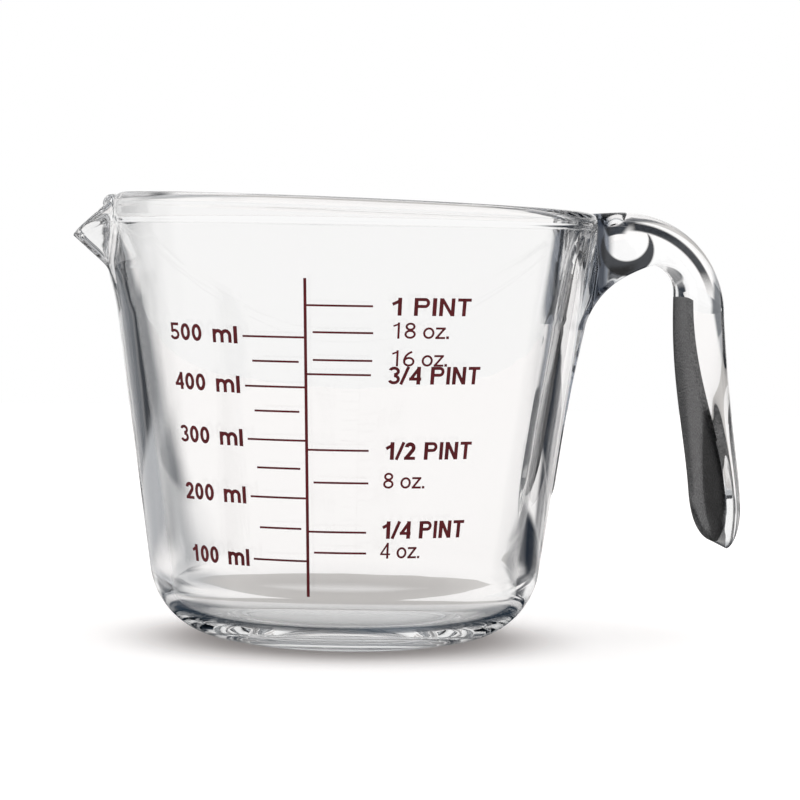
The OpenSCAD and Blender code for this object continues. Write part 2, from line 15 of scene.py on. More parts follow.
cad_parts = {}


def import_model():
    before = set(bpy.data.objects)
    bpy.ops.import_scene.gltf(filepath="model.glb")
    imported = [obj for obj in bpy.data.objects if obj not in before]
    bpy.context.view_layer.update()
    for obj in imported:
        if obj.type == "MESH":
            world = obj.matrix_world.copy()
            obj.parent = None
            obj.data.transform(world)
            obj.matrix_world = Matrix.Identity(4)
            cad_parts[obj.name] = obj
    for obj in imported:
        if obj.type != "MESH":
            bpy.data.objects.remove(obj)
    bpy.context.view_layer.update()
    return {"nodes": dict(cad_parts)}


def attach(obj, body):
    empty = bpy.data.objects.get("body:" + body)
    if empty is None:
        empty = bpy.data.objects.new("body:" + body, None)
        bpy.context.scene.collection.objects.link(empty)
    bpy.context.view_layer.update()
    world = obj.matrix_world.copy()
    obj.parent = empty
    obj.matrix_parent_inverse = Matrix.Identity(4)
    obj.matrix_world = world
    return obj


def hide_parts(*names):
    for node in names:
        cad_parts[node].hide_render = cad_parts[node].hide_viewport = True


LOG = logging.getLogger("measuring_jug")
MM = 0.001
MERGE_GAP = 0.001
ARM_LOW_SHARE = 0.3
ARM_RIDGE = 0.24
Colour = tuple[float, float, float]
Spot = tuple[float, float]
Socket = bpy.types.NodeSocket
Source = Union[Socket, float, Colour, Vector]
Verts = list[bmesh.types.BMVert]
Faces = list[bmesh.types.BMFace]
Grid = dict[tuple[int, int], bmesh.types.BMVert]
WHITE: Colour = (1.0, 1.0, 1.0)


def mix(a: float, b: float, share: float) -> float:
    """Value that lies a share of the way from a to b."""
    return a + (b - a) * share


def ease(share: float) -> float:
    """Share from 0 to 1 with a soft start and end."""
    share = min(1.0, max(0.0, share))
    return share * share * (3.0 - 2.0 * share)


def soft_max(a: float, b: float, blend: float) -> float:
    """Larger of two values, with a round passage where they are closer than blend."""
    near = max(blend - abs(a - b), 0.0) / blend
    return max(a, b) + near * near * blend / 4.0


def soft_min(a: float, b: float, blend: float) -> float:
    """Smaller of two values, with a round passage where they are closer than blend."""
    return -soft_max(-a, -b, blend)


def ridge_share(share: float, soft: float) -> float:
    """Share of the way from the top of a ridge to its foot, with the top rounded over the soft part."""
    return (math.hypot(share, soft) - soft) / (math.hypot(1.0, soft) - soft)


def link(name: str, data: bpy.types.ID) -> bpy.types.Object:
    """Puts a mesh or a camera into the scene as an object at the origin.

    Args:
        name: Name of the object.
        data: Its mesh or camera.

    Returns:
        The new object.
    """
    placed = bpy.data.objects.new(name, data)
    bpy.context.scene.collection.objects.link(placed)
    return placed


def link_mesh(name: str, bm: bmesh.types.BMesh) -> bpy.types.Object:
    """Puts a finished bmesh into the scene as an object at the origin, and frees it.

    Args:
        name: Name of the mesh and the object.
        bm: The finished bmesh, in metres.

    Returns:
        The new object.
    """
    mesh = bpy.data.meshes.new(name)
    bm.to_mesh(mesh)
    bm.free()
    return link(name, mesh)


def loop_edges(bm: bmesh.types.BMesh, loop: Verts) -> list[bmesh.types.BMEdge]:
    """Edges that join the points of a closed loop in their order."""
    return [bm.edges.get(pair) for pair in zip(loop, loop[1:] + loop[:1])]


class Band(Enum):
    """Bands of the wall's outline, from the middle of the underside to the middle of the floor."""

    UNDERSIDE = "underside"
    HEEL = "heel"
    WALL = "wall"
    NECK = "neck"
    RIM = "rim"
    THROAT = "throat"
    BORE = "bore"
    CORNER = "corner"
    FLOOR = "floor"


class Row(NamedTuple):
    """One row of points round the jug: its band, and its place in the band."""

    band: Band
    place: float


class Slice(NamedTuple):
    """A cut through the handle.

    Attributes:
        gap: Middle of its side at the finger gap.
        far: Middle of its far side.
        width: Its width.
        low_share: Share of the depth that its low part takes.
        ridge: Form of that part, from sharp corners near 0 to a sharp ridge at 2.
        face_points: Share of its points on the face at the gap, nought where they are spread evenly.
    """

    gap: Vector
    far: Vector
    width: float
    low_share: float = ARM_LOW_SHARE
    ridge: float = ARM_RIDGE
    face_points: float = 0.0


class ShaderNodes:
    """Adds nodes to a node tree and links them."""

    def __init__(self, tree: bpy.types.NodeTree) -> None:
        """Keeps the node tree that gets the nodes."""
        self.tree = tree

    def fill(self, node: bpy.types.Node, values: dict[str | int, Source]) -> bpy.types.Node:
        """Fills inputs of a node.

        Args:
            node: The node.
            values: What goes into each input: an output of another node, a number, a colour or a direction.

        Returns:
            The same node.
        """
        for name, value in values.items():
            socket = node.inputs[name]
            if isinstance(value, Socket):
                self.tree.links.new(value, socket)
            else:
                socket.default_value = (*value, 1.0) if socket.type == "RGBA" else value
        return node

    def add(self, kind: str, values: dict[str | int, Source] | None = None) -> bpy.types.Node:
        """Adds a node of a kind and fills its inputs."""
        return self.fill(self.tree.nodes.new(kind), values or {})

    def make(self, operation: str, *values: Source) -> Socket:
        """Adds one sum of outputs and numbers.

        Args:
            operation: Blender's name of the sum.
            values: Outputs of other nodes and numbers, in order.

        Returns:
            The output with the result.
        """
        node = self.add("ShaderNodeMath", dict(enumerate(values)))
        node.operation = operation
        return node.outputs[0]

    def measure(self, operation: str, *values: Source) -> Socket:
        """Adds a sum that makes one number of places and directions.

        Args:
            operation: Blender's name of the sum.
            values: Outputs of other nodes and directions, in order.

        Returns:
            The output with the number.
        """
        node = self.add("ShaderNodeVectorMath", dict(enumerate(values)))
        node.operation = operation
        return node.outputs["Value"]

    def parts(self, place: Socket) -> tuple[Socket, Socket, Socket]:
        """Adds the split of a place into its X, Y and Z."""
        return tuple(self.add("ShaderNodeSeparateXYZ", {0: place}).outputs)

    def place(self) -> Socket:
        """Adds the place on the object."""
        return self.add("ShaderNodeTexCoord").outputs["Object"]

    def ray(self, kind: str) -> Socket:
        """Adds the share that is 1 for one kind of ray."""
        return self.add("ShaderNodeLightPath").outputs[kind]

    def glass_ray(self) -> Socket:
        """Adds the share that is 1 for rays that glass sends on."""
        return self.make("MAXIMUM", self.ray("Is Glossy Ray"), self.ray("Is Transmission Ray"))

    def reach(self, x: Socket, z: Socket, spot: Spot) -> Socket:
        """Adds the distance of a place from a spot, seen from the side.

        Args:
            x: Output with the X of the place.
            z: Output with its Z.
            spot: X and Z of the spot.

        Returns:
            The output with the distance.
        """
        off_x, off_z = self.make("SUBTRACT", x, spot[0]), self.make("SUBTRACT", z, spot[1])
        squares = self.make("ADD", self.make("MULTIPLY", off_x, off_x), self.make("MULTIPLY", off_z, off_z))
        return self.make("SQRT", squares)

    def rise(self, value: Socket, start: float, end: float) -> Socket:
        """Adds a soft rise from 0 where a value is at the start to 1 where it is at the end.

        Args:
            value: Output with the value.
            start: Value at which the rise starts.
            end: Value at which it is full, below the start for a fall.

        Returns:
            The output with the share.
        """
        node = self.add("ShaderNodeMapRange", {"From Min": start, "From Max": end, "Value": value})
        node.interpolation_type = "SMOOTHSTEP"
        return node.outputs[0]

    def step(self, value: Socket, middle: float, soft: float) -> Socket:
        """Adds a soft step up at a value, or a step down where the half width of its edge is below nought."""
        return self.rise(value, middle - soft, middle + soft)

    def blend(self, share: Socket, plain: Source, full: Colour) -> Socket:
        """Adds a blend of two colours.

        Args:
            share: Output with the share of the second colour.
            plain: First colour, an output of another node or plain numbers.
            full: Second colour.

        Returns:
            The output with the colour.
        """
        node = self.add("ShaderNodeMix")
        node.data_type = "RGBA"
        return self.fill(node, {0: share, 6: plain, 7: full}).outputs[2]

    def bump(self, height: Socket, strength: float, depth: float, over: Socket | None = None) -> Socket:
        """Adds a bump.

        Args:
            height: Output with the height, from 0 to 1.
            strength: How strongly the bump shows.
            depth: Height in metres that 1 stands for.
            over: Output of the bump on which this one lies, if there is one.

        Returns:
            The output with the direction of the face.
        """
        values: dict[str | int, Source] = {"Height": height, "Strength": strength, "Distance": depth}
        if over is not None:
            values["Normal"] = over
        return self.add("ShaderNodeBump", values).outputs["Normal"]


def new_material(name: str) -> tuple[bpy.types.Material, ShaderNodes, bpy.types.Node]:
    """Makes a material with nodes.

    Args:
        name: Name of the material.

    Returns:
        The material, the maker of its nodes and its shader.
    """
    material = bpy.data.materials.new(name)
    material.use_nodes = True
    return material, ShaderNodes(material.node_tree), material.node_tree.nodes["Principled BSDF"]


@dataclass(frozen=True)
class GlassFinish:
    """Clear pressed glass.

    Attributes:
        name: Name of the material.
        tint_and_painted_shade: Colour that one passage through a face leaves of white light: the clear
            glass's own tint, and painted shade in the grained, root and rib glass.
        ior: Index of refraction.
        roughness: Roughness of the faces.
        ripple: Strength of the slow ripple that pressing leaves.
        ripple_w: Width of one ripple in metres.
        ripple_slim: How many times wider than deep a ripple is.
        stipple: Strength of the moulded grain, nought for a plain face.
        stipple_w: Width of one grain in metres.
        stipple_slim: How many times wider than deep a grain is.
        gloss: Strength of the reflection, 0.5 for clean glass.
        grain_pit_shade_share: Share of the colour at the bottom of the grain, a painted shade in its pits.
        grain_top_light_share: Share of the colour on top of the grain, a painted highlight.
    """

    name: str
    tint_and_painted_shade: Colour
    ior: float = 1.474
    roughness: float = 0.0
    ripple: float = 0.02
    ripple_w: float = 0.012
    ripple_slim: float = 12.0
    stipple: float = 0.0
    stipple_w: float = 0.0008
    stipple_slim: float = 3.0
    gloss: float = 0.5
    grain_pit_shade_share: float = 0.35
    grain_top_light_share: float = 2.4

    def colour(self, made: ShaderNodes) -> Source:
        """Colour of the glass, the same all over unless a kind of glass has painted dark bands."""
        return self.tint_and_painted_shade

    def material(self) -> bpy.types.Material:
        """Makes the material with its procedural ripple and grain.

        Returns:
            The new material.
        """
        material, made, shader = new_material(self.name)
        place = made.place()
        waves = made.add("ShaderNodeTexNoise", {"Scale": 1.0 / self.ripple_w, "Detail": 1.0, "Vector": place})
        normal = made.bump(waves.outputs["Fac"], self.ripple, self.ripple_w / self.ripple_slim)
        colour = self.colour(made)
        if self.stipple > 0.0:
            grains = made.add("ShaderNodeTexVoronoi", {"Scale": 1.0 / self.stipple_w, "Vector": place})
            height = grains.outputs["Distance"]
            normal = made.bump(height, self.stipple, self.stipple_w / self.stipple_slim, normal)
            # painted shade in the grain's pits and painted highlight on its tops, blended by the grain's
            # height
            deep, pale = (tuple(share * part for part in self.tint_and_painted_shade)
                          for share in (self.grain_pit_shade_share, self.grain_top_light_share))
            colour = made.blend(height, deep, pale)
        made.fill(shader, {"Base Color": colour, "Roughness": self.roughness, "IOR": self.ior,
                           "Normal": normal, "Specular IOR Level": self.gloss, "Transmission Weight": 1.0})
        return material


@dataclass(frozen=True)
class RootFinish(GlassFinish):
    """Glass of the handle's thick root and its bend, with a painted shade over the root and painted dark
    bands on the near side, standing in for the dark surroundings seen through the thick glass.

    Attributes:
        painted_shade_start: Distance along X in metres at which the painted shade starts at the foot.
        painted_shade_slope: How much further out it starts for each metre of height, as the wall leans.
        painted_shade_end: Distance along X at which it ends.
        painted_shade_soft: Half the width of the soft edges of the painted shade.
        dark: Colour that one passage through the painted dark bands leaves.
        bend: Middle of the bend as X and Z in metres.
        shade_band_r: Radius of the painted dark band that follows the bend.
        shade_band_half_w: Half the width of that band.
        shade_band_low: Height over the bend's middle at which the band starts to show.
        shade_band_full: Height over it at which the band shows in full.
        shade_band_turn: Half the length along X over which the band starts above the bend's middle.
        crescent_hole: Middle of the clear spot at the root that the painted dark crescent goes round, as X
            and Z in metres.
        crescent_hole_r: Radius of that clear spot.
        bow: Middle of the painted dark bow under the clear spot.
        bow_r: Outer radius of that bow.
        soft: Half the width of the soft edges of the painted bands.
    """

    painted_shade_start: float = 0.0462
    painted_shade_slope: float = 0.1423
    painted_shade_end: float = 0.0668
    painted_shade_soft: float = 0.001
    dark: Colour = (0.0015, 0.0018, 0.0024)
    bend: Spot = (0.0708, 0.0822)
    shade_band_r: float = 0.0229
    shade_band_half_w: float = 0.0011
    shade_band_low: float = 0.003
    shade_band_full: float = 0.012
    shade_band_turn: float = 0.002
    crescent_hole: Spot = (0.0704, 0.1018)
    crescent_hole_r: float = 0.0054
    bow: Spot = (0.0706, 0.0992)
    bow_r: float = 0.0068
    soft: float = 0.0003

    def colour(self, made: ShaderNodes) -> Source:
        """Adds the painted shade at the wall and the painted dark bands on the near side.

        Args:
            made: Maker of the material's nodes.

        Returns:
            The output with the colour.
        """
        x, y, z = made.parts(made.place())
        # painted shade over the thick root, from the leaning wall out along X
        from_wall = made.make("MULTIPLY_ADD", z, -self.painted_shade_slope, x)
        root = made.make("MULTIPLY", made.step(from_wall, self.painted_shade_start, self.painted_shade_soft),
                         made.step(x, self.painted_shade_end, -self.painted_shade_soft))
        # painted dark band along the bend and painted dark crescent round a clear spot, on the near side only
        off = made.make("ABSOLUTE", made.make("SUBTRACT", made.reach(x, z, self.bend), self.shade_band_r))
        ends = made.make("MULTIPLY",
                         made.rise(z, self.bend[1] + self.shade_band_low, self.bend[1] + self.shade_band_full),
                         made.step(x, self.bend[0], self.shade_band_turn))
        shade_band = made.make("MULTIPLY", made.step(off, self.shade_band_half_w, -self.soft), ends)
        crescent = made.make("MULTIPLY", made.step(made.reach(x, z, self.crescent_hole), self.crescent_hole_r, self.soft),
                             made.step(made.reach(x, z, self.bow), self.bow_r, -self.soft))
        dark = made.make("MULTIPLY", made.make("MAXIMUM", shade_band, crescent), made.make("LESS_THAN", y, 0.0))
        return made.blend(dark, made.blend(root, WHITE, self.tint_and_painted_shade), self.dark)


@dataclass(frozen=True)
class RibFinish(GlassFinish):
    """Glass of the rib under the arm, with painted shade along its crest that stands in for the dark the rib
    refracts.

    Attributes:
        low: Height in metres at which the painted shade starts.
        fade: Height over which it grows to its full strength.
        half_w: Half the width of the painted shade where it starts.
        widening: How much that half width grows for each metre of height.
        side_soft: Half the width of the soft edges at the sides.
    """

    low: float = 0.033
    fade: float = 0.027
    half_w: float = 0.0016
    widening: float = 0.05
    side_soft: float = 0.0009

    def colour(self, made: ShaderNodes) -> Source:
        """Adds the painted shade along the crest.

        Args:
            made: Maker of the material's nodes.

        Returns:
            The output with the colour.
        """
        # painted shade along the crest, widening upwards
        y, z = made.parts(made.place())[1:]
        off = made.make("MULTIPLY_ADD", z, -self.widening, made.make("ABSOLUTE", y))
        share = made.make("MULTIPLY", made.step(off, self.half_w - self.low * self.widening, -self.side_soft),
                          made.rise(z, self.low, self.low + self.fade))
        return made.blend(share, WHITE, self.tint_and_painted_shade)


@dataclass(frozen=True)
class EnamelFinish:
    """Fired dark maroon enamel, a little uneven in its cover.

    Attributes:
        name: Name of the material.
        thick: Colour where the print lies thick.
        thin: Colour where it lies thin.
        ior: Index of refraction.
        roughness: Roughness of the fired face.
        gloss: Strength of the reflection, 0.5 for a polished face.
        cloud_w: Width of one cloud of thinner cover, in metres.
        cloud_low: Value of the clouds up to which the print is thick.
        cloud_top: Value from which it is thin.
        grain_w: Width of one grain of the screened face, in metres.
        grain: Strength of that grain.
        grain_slim: How many times wider than deep a grain is.
    """

    name: str = "maroon_enamel"
    thick: Colour = (0.078, 0.006, 0.009)
    thin: Colour = (0.115, 0.011, 0.015)
    ior: float = 1.5
    roughness: float = 0.4
    gloss: float = 0.15
    cloud_w: float = 0.004
    cloud_low: float = 0.35
    cloud_top: float = 0.7
    grain_w: float = 0.0003
    grain: float = 0.15
    grain_slim: float = 8.0

    def material(self) -> bpy.types.Material:
        """Makes the material with its clouds and its screened grain.

        Returns:
            The new material.
        """
        material, made, shader = new_material(self.name)
        place = made.place()
        clouds = made.add("ShaderNodeTexNoise", {"Scale": 1.0 / self.cloud_w, "Detail": 4.0, "Vector": place})
        cover = made.add("ShaderNodeValToRGB", {"Fac": clouds.outputs["Fac"]})
        for stop, at, colour in zip(cover.color_ramp.elements, (self.cloud_low, self.cloud_top),
                                    (self.thick, self.thin)):
            stop.position = at
            stop.color = (*colour, 1.0)
        grains = made.add("ShaderNodeTexNoise", {"Scale": 1.0 / self.grain_w, "Vector": place})
        normal = made.bump(grains.outputs["Fac"], self.grain, self.grain_w / self.grain_slim)
        made.fill(shader, {"Base Color": cover.outputs["Color"], "Roughness": self.roughness, "IOR": self.ior,
                           "Specular IOR Level": self.gloss, "Normal": normal})
        return material


@dataclass
class GlassJug:
    """The pressed jug as one closed skin of glass.

    Sizes are in millimetres, slopes and turns in degrees, named as in the part's source where it has them.
    """

    # Leaning rim, wall, heel and floor
    rim_h: float = 109.6
    rim_lean: float = 1.5
    wall_foot_r: float = 46.5
    wall_slope: float = 8.1
    wall_low_t: float = 5.4
    wall_top_t: float = 4.1
    heel_r: float = 19.7
    floor_h: float = 6.5
    floor_corner_r: float = 9.9
    # Collar and rounded rim
    collar_h: float = 5.8
    collar_proud: float = 0.6
    collar_flank: float = 1.6
    collar_start: float = 0.6
    collar_under: float = 0.3
    collar_over: float = 1.0
    collar_rows_h: float = 1.3
    rim_edge_r: float = 2.3
    # Foot ring and the hollow inside it
    foot_inset: float = 0.5
    foot_w: float = 4.0
    foot_lift: float = 0.6
    hollow_h: float = 1.6
    hollow_edge_z: float = 0.95
    hollow_shares: tuple[float, ...] = (0.0, 0.2, 0.4, 0.6, 0.78, 0.9, 0.97)
    ring_inside: tuple[Spot, ...] = ((0.15, 0.78), (0.5, 0.35), (0.8, 0.08), (1.1, 0.0))
    ring_outside: tuple[Spot, ...] = ((-0.9, 0.0), (-0.35, 0.0), (-0.12, 0.1), (-0.02, 0.3), (0.1, 0.5))
    # Round throat on the spout's side
    throat_r: float = 46.8
    throat_sink: float = 0.9
    throat_t: float = 4.4
    throat_low_drop: float = 25.1
    throat_lean: float = 0.3
    throat_blend: float = 0.7
    throat_margin: float = 2.0
    throat_start: float = 1.0
    # Pouring lip
    lip_out: float = 8.37
    lip_half_turn: float = 9.0
    lip_crest_z: float = 101.4
    lip_side_crest_z: float = 108.9
    lip_root_z: float = 92.6
    lip_t: float = 2.2
    lip_side_more_t: float = 0.3
    lip_nose: float = 0.1
    lip_side_out: float = 1.2
    lip_side_drop: float = 3.6
    lip_edge_h: float = 1.1
    lip_least_slope: float = 0.5
    lip_crest_end: float = 1.6
    lip_face_end: float = 1.2
    lip_crest_blend: float = 1.2
    lip_face_blend: float = 1.0
    # Dip of the rim beside the lip
    dip_h: float = 0.9
    dip_half_w: float = 14.0
    dip_blend: float = 0.6
    # Rib that runs down the wall under the arm
    rib_w: float = 11.0
    rib_top_proud: float = 3.8
    rib_low_proud: float = 2.3
    rib_low_z: float = 31.0
    rib_flank: float = 1.75
    rib_crest: float = 0.2
    rib_growth: float = 3.6
    rib_swell_share: float = 0.75
    rib_foot_w: float = 0.2
    rib_reach: float = 0.5
    rib_edge: float = 0.12
    rib_half_radians: float = 0.12
    # Arm, bend, finger gap and grip
    handle_top_drop: float = 0.8
    arm_t: float = 13.3
    bend_r: float = 26.6
    bend_x: float = 71.7
    gap_x: float = 79.5
    gap_arch_h: float = 17.5
    crook_r: float = 7.0
    grip_top_t: float = 11.8
    grip_end_t: float = 7.3
    arm_w: float = 14.5
    grip_end_w: float = 32.0
    grip_lean: float = 3.6
    grip_bow_share: float = 0.88
    grip_bow: float = 1.25
    handle_low_z: float = 22.3
    # Round end of the grip
    grip_round_h: float = 13.7
    tip_turn: float = 88.5
    tip_near_share: float = 0.84
    tip_near_draw: float = 0.22
    tip_far_draw: float = 0.34
    # Root of the arm, where it grows out of the wall
    seat_half_w: float = 13.0
    seat_drop: float = 0.6
    root_flare: float = 8.4
    root_share: float = 0.48
    root_low_share: float = 0.5
    root_ridge: float = 1.7
    root_shift: float = 5.0
    ridge_start: float = 0.2
    ridge_length: float = 0.6
    waist_w: float = 9.6
    waist_share: float = 0.4
    # How the cuts follow the arch over the finger gap
    arch_start_turn: float = 178.0
    arch_end_turn: float = 93.0
    bend_start_turn: float = 88.0
    arch_round: float = 1.235
    arch_crowd: float = 1.15
    # How closely the points lie
    neck_z: float = 82.0
    turns: int = 320
    pull: float = 0.45
    pull_turn: float = 13.5
    pull_end_turn: float = 50.0
    pull_r: float = 58.0
    pull_least_r: float = 47.0
    heel_steps: int = 22
    wall_steps: int = 44
    neck_steps: int = 16
    collar_steps: int = 5
    edge_steps: int = 4
    rim_steps: int = 18
    throat_steps: int = 20
    corner_steps: int = 16
    floor_shares: tuple[float, ...] = (0.94, 0.85, 0.72, 0.55, 0.36, 0.18, 0.0)
    arch_steps: int = 26
    bend_steps: int = 34
    grip_steps: int = 48
    tip_steps: int = 18
    cut_steps: int = 240
    # Rounding of the passage from wall to arm, and the points of the grained face
    blend_rings: int = 3
    blend_rounds: int = 6
    grain_depth_share: float = 0.1
    bend_face_points: float = 0.365
    face_points: float = 0.41
    # Glass of the jug's parts; the grained, root and rib glass carry painted shade in their colours
    plain: GlassFinish = field(default_factory=lambda: GlassFinish("clear_glass", (0.96, 0.959, 0.957)))
    # the stippled glass's near-black colour is painted shade: the dark that the grained face of the grip
    # shows
    grained: GlassFinish = field(default_factory=lambda: GlassFinish(
        "stippled_glass", (0.011, 0.011, 0.0113), ior=1.1, roughness=0.4, stipple=1.0, stipple_w=0.0006,
        gloss=0.1))
    rib: RibFinish = field(default_factory=lambda: RibFinish("rib_glass_painted_shade", (0.15, 0.175, 0.225)))
    root: RootFinish = field(default_factory=lambda: RootFinish("root_glass_painted_shade", (0.045, 0.055, 0.075)))

    def __post_init__(self) -> None:
        """Works out the sizes that follow from the named ones."""
        self.wall_grow = math.tan(math.radians(self.wall_slope))
        self.bore_foot_r = self.wall_foot_r - self.wall_low_t
        self.bore_grow = self.wall_grow + (self.wall_low_t - self.wall_top_t) / self.rim_h
        self.bore_slope = math.degrees(math.atan(self.bore_grow))
        self.heel_z = self.foot_lift + self.heel_r
        self.heel_x = self.wall_r(self.heel_z) - self.heel_r / math.cos(math.radians(self.wall_slope))
        self.heel_top_z = self.heel_z - self.heel_r * math.sin(math.radians(self.wall_slope))
        self.corner_z = self.floor_h + self.floor_corner_r
        self.corner_x = (self.bore_r(self.corner_z)
                         - self.floor_corner_r / math.cos(math.radians(self.bore_slope)))
        self.corner_top_z = self.corner_z - self.floor_corner_r * math.sin(math.radians(self.bore_slope))
        self.collar_low_z = self.rim_h - self.collar_h
        self.throat_reach = self.wall_r(self.rim_h) - self.throat_sink
        self.throat_x = self.throat_reach - self.throat_r
        self.throat_low_z = self.rim_h - self.throat_low_drop
        self.lip_reach = self.throat_reach + self.lip_out
        self.handle_top_z = self.rim_h - self.handle_top_drop
        self.gap_top_z = self.handle_top_z - self.arm_t
        self.arch_z = self.gap_top_z - self.gap_arch_h
        self.crook_z = self.gap_top_z - self.crook_r
        self.bend_z = self.handle_top_z - self.bend_r
        self.grip_top_x = self.bend_x + self.bend_r
        self.grip_near_x = self.grip_top_x - self.grip_top_t
        self.grip_low_z = self.handle_low_z + self.grip_round_h
        self.rows = self.outline_rows()

    # Radii of the plain wall and of what swells out of it

    def wall_r(self, z: float) -> float:
        """Outer radius of the plain wall at a height."""
        return self.wall_foot_r + self.wall_grow * z

    def bore_r(self, z: float) -> float:
        """Radius of the plain bore at a height."""
        return self.bore_foot_r + self.bore_grow * z

    def throat_out_r(self, z: float) -> float:
        """Radius of the throat's outside about its own axis at a height, drawn in towards its lower end."""
        return self.throat_r - self.throat_lean * max(self.lip_root_z + self.throat_start - z, 0.0)

    def throat_in_r(self, z: float) -> float:
        """Radius of the throat's inside about its own axis at a height."""
        thin = max(z - self.lip_root_z - self.throat_start, 0.0) / (self.rim_h - self.lip_root_z)
        return self.throat_out_r(z) - self.throat_t * (1.0 - thin / 2.0)

    def throat_face_r(self, turn: float, radius: float) -> float:
        """Distance from the bowl's axis to the throat's round face in one direction."""
        sideways = self.throat_x * math.sin(turn)
        return -self.throat_x * math.cos(turn) + math.sqrt(max(radius * radius - sideways * sideways, 0.0))

    def with_throat(self, plain_r: float, turn: float, z: float, radius: float) -> float:
        """Widens a face where the throat reaches further out than the plain cone.

        Args:
            plain_r: Radius of the plain face.
            turn: Direction from the axis in radians, nought at the handle.
            z: Height in millimetres.
            radius: Radius of the throat about its own axis.

        Returns:
            The radius of the face.
        """
        if math.cos(turn) >= 0.0 or z <= self.throat_low_z - self.throat_margin:
            return plain_r
        return soft_max(plain_r, self.throat_face_r(turn, radius), self.throat_blend)

    def lip_share(self, turn: float) -> float:
        """Share of the way from the middle of the lip to its side, more than 1 beside it."""
        return ridge_share(math.degrees(math.pi - abs(turn)) / self.lip_half_turn, self.lip_nose)

    def rim_place(self, turn: float) -> Spot:
        """X and Y of the middle of the rim in one direction."""
        radius = self.wall_r(self.rim_h) - self.rim_edge_r
        return radius * math.cos(turn), radius * math.sin(turn)

    def plain_crest_z(self, turn: float) -> float:
        """Height of the top of the plain leaning rim in one direction."""
        return self.rim_h - self.rim_place(turn)[0] * math.tan(math.radians(self.rim_lean))

    def plain_edge_z(self, turn: float) -> float:
        """Height at which the rounding of the plain leaning rim starts."""
        return self.plain_crest_z(turn) - self.rim_edge_r

    def crest_z(self, turn: float) -> float:
        """Finds the height of the top of the rim, with the lean, the dip and the lip.

        Args:
            turn: Direction from the axis in radians, nought at the handle.

        Returns:
            The height in millimetres.
        """
        rim_x, rim_y = self.rim_place(turn)
        z = self.plain_crest_z(turn)
        if rim_x < 0.0:
            dip_r = (self.dip_half_w ** 2 + self.dip_h ** 2) / (2.0 * self.dip_h)
            top = self.rim_h + self.throat_reach * math.sin(math.radians(self.rim_lean))
            if abs(rim_y) < 2.0 * self.dip_half_w:
                dip_z = top - self.dip_h + dip_r - math.sqrt(dip_r ** 2 - rim_y ** 2)
                z = soft_min(z, dip_z, self.dip_blend)
            share = self.lip_share(turn)
            if share < self.lip_crest_end:
                z = soft_min(z, mix(self.lip_crest_z, self.lip_side_crest_z, share), self.lip_crest_blend)
        return z

    def edge_h(self, turn: float) -> float:
        """Height of the rounding of the rim, lower at the thin lip."""
        return mix(self.lip_edge_h, self.rim_edge_r, ease(self.lip_share(turn)))

    def neck_row_z(self, turn: float, nominal: float) -> float:
        """Finds the height of a row above the neck, pressed down where the rim is low.

        Args:
            turn: Direction of the point.
            nominal: Height of the row under the plain rim.

        Returns:
            Its height in this direction.
        """
        low, plain = self.neck_z, self.plain_edge_z(turn)
        scale = (self.crest_z(turn) - self.edge_h(turn) - low) / (plain - low)
        return low + (nominal - low) * scale

    def outside_r(self, turn: float, z: float) -> float:
        """Finds the outer radius of the jug, without rib and handle.

        Args:
            turn: Direction from the axis in radians, nought at the handle.
            z: Height in millimetres.

        Returns:
            The radius in millimetres.
        """
        share = self.lip_share(turn)
        flank = ease((z - self.collar_low_z) / (self.collar_flank * self.collar_proud))
        collar = self.collar_proud * flank * ease(share - self.collar_start)
        radius = self.with_throat(self.wall_r(z) + collar, turn, z, self.throat_out_r(z))
        if share < self.lip_face_end:
            radius = soft_max(radius, self.lip_face_r(turn, share, z), self.lip_face_blend)
        return radius

    def inside_r(self, turn: float, z: float) -> float:
        """Finds the inner radius of the jug.

        Args:
            turn: Direction from the axis in radians, nought at the handle.
            z: Height in millimetres.

        Returns:
            The radius in millimetres.
        """
        radius = self.with_throat(self.bore_r(z), turn, z, self.throat_in_r(z))
        share = self.lip_share(turn)
        if share < self.lip_face_end:
            thick = mix(self.lip_t, self.wall_top_t + self.lip_side_more_t, ease(share))
            radius = soft_max(radius, self.lip_face_r(turn, share, z) - thick, self.lip_face_blend)
        return radius

    def lip_face_r(self, turn: float, share: float, z: float) -> float:
        """Finds the radius of the lip's outer face, a slope from its root to its edge.

        Args:
            turn: Direction from the axis in radians, nought at the handle.
            share: Share of the way from the middle of the lip to its side.
            z: Height in millimetres.

        Returns:
            The radius in millimetres.
        """
        edge_z = self.crest_z(turn) - self.edge_h(turn)
        edge_r = mix(self.lip_reach, self.throat_reach + self.lip_side_out, share)
        root_z = mix(self.lip_root_z, self.lip_side_crest_z - self.lip_side_drop, share)
        root_r = max(self.wall_r(root_z), self.throat_face_r(turn, self.throat_out_r(root_z)))
        slope = max((edge_r - root_r) / max(edge_z - root_z, 1.0), self.lip_least_slope)
        return edge_r + (z - edge_z) * slope

    def rib_rise(self, side: float, z: float) -> float:
        """Finds how far the rib under the arm stands out of the wall.

        Args:
            side: Distance from the middle of the rib.
            z: Height in millimetres.

        Returns:
            The height of the rib over the wall.
        """
        if z < self.rib_low_z:
            return 0.0
        swell_share = (z - self.rib_low_z) / (self.rib_w * self.rib_swell_share)
        swell = math.sin(math.radians(90.0 * min(1.0, swell_share)))
        share = min((z - self.rib_low_z) / (self.arch_z - self.rib_low_z), 1.0)
        proud = mix(self.rib_low_proud, self.rib_top_proud, share ** self.rib_growth) * swell
        half_w = self.rib_flank * proud + self.rib_foot_w
        return proud * max(1.0 - ridge_share(side / half_w, self.rib_crest), 0.0)

    # Rows of the outline and where each of their points lies

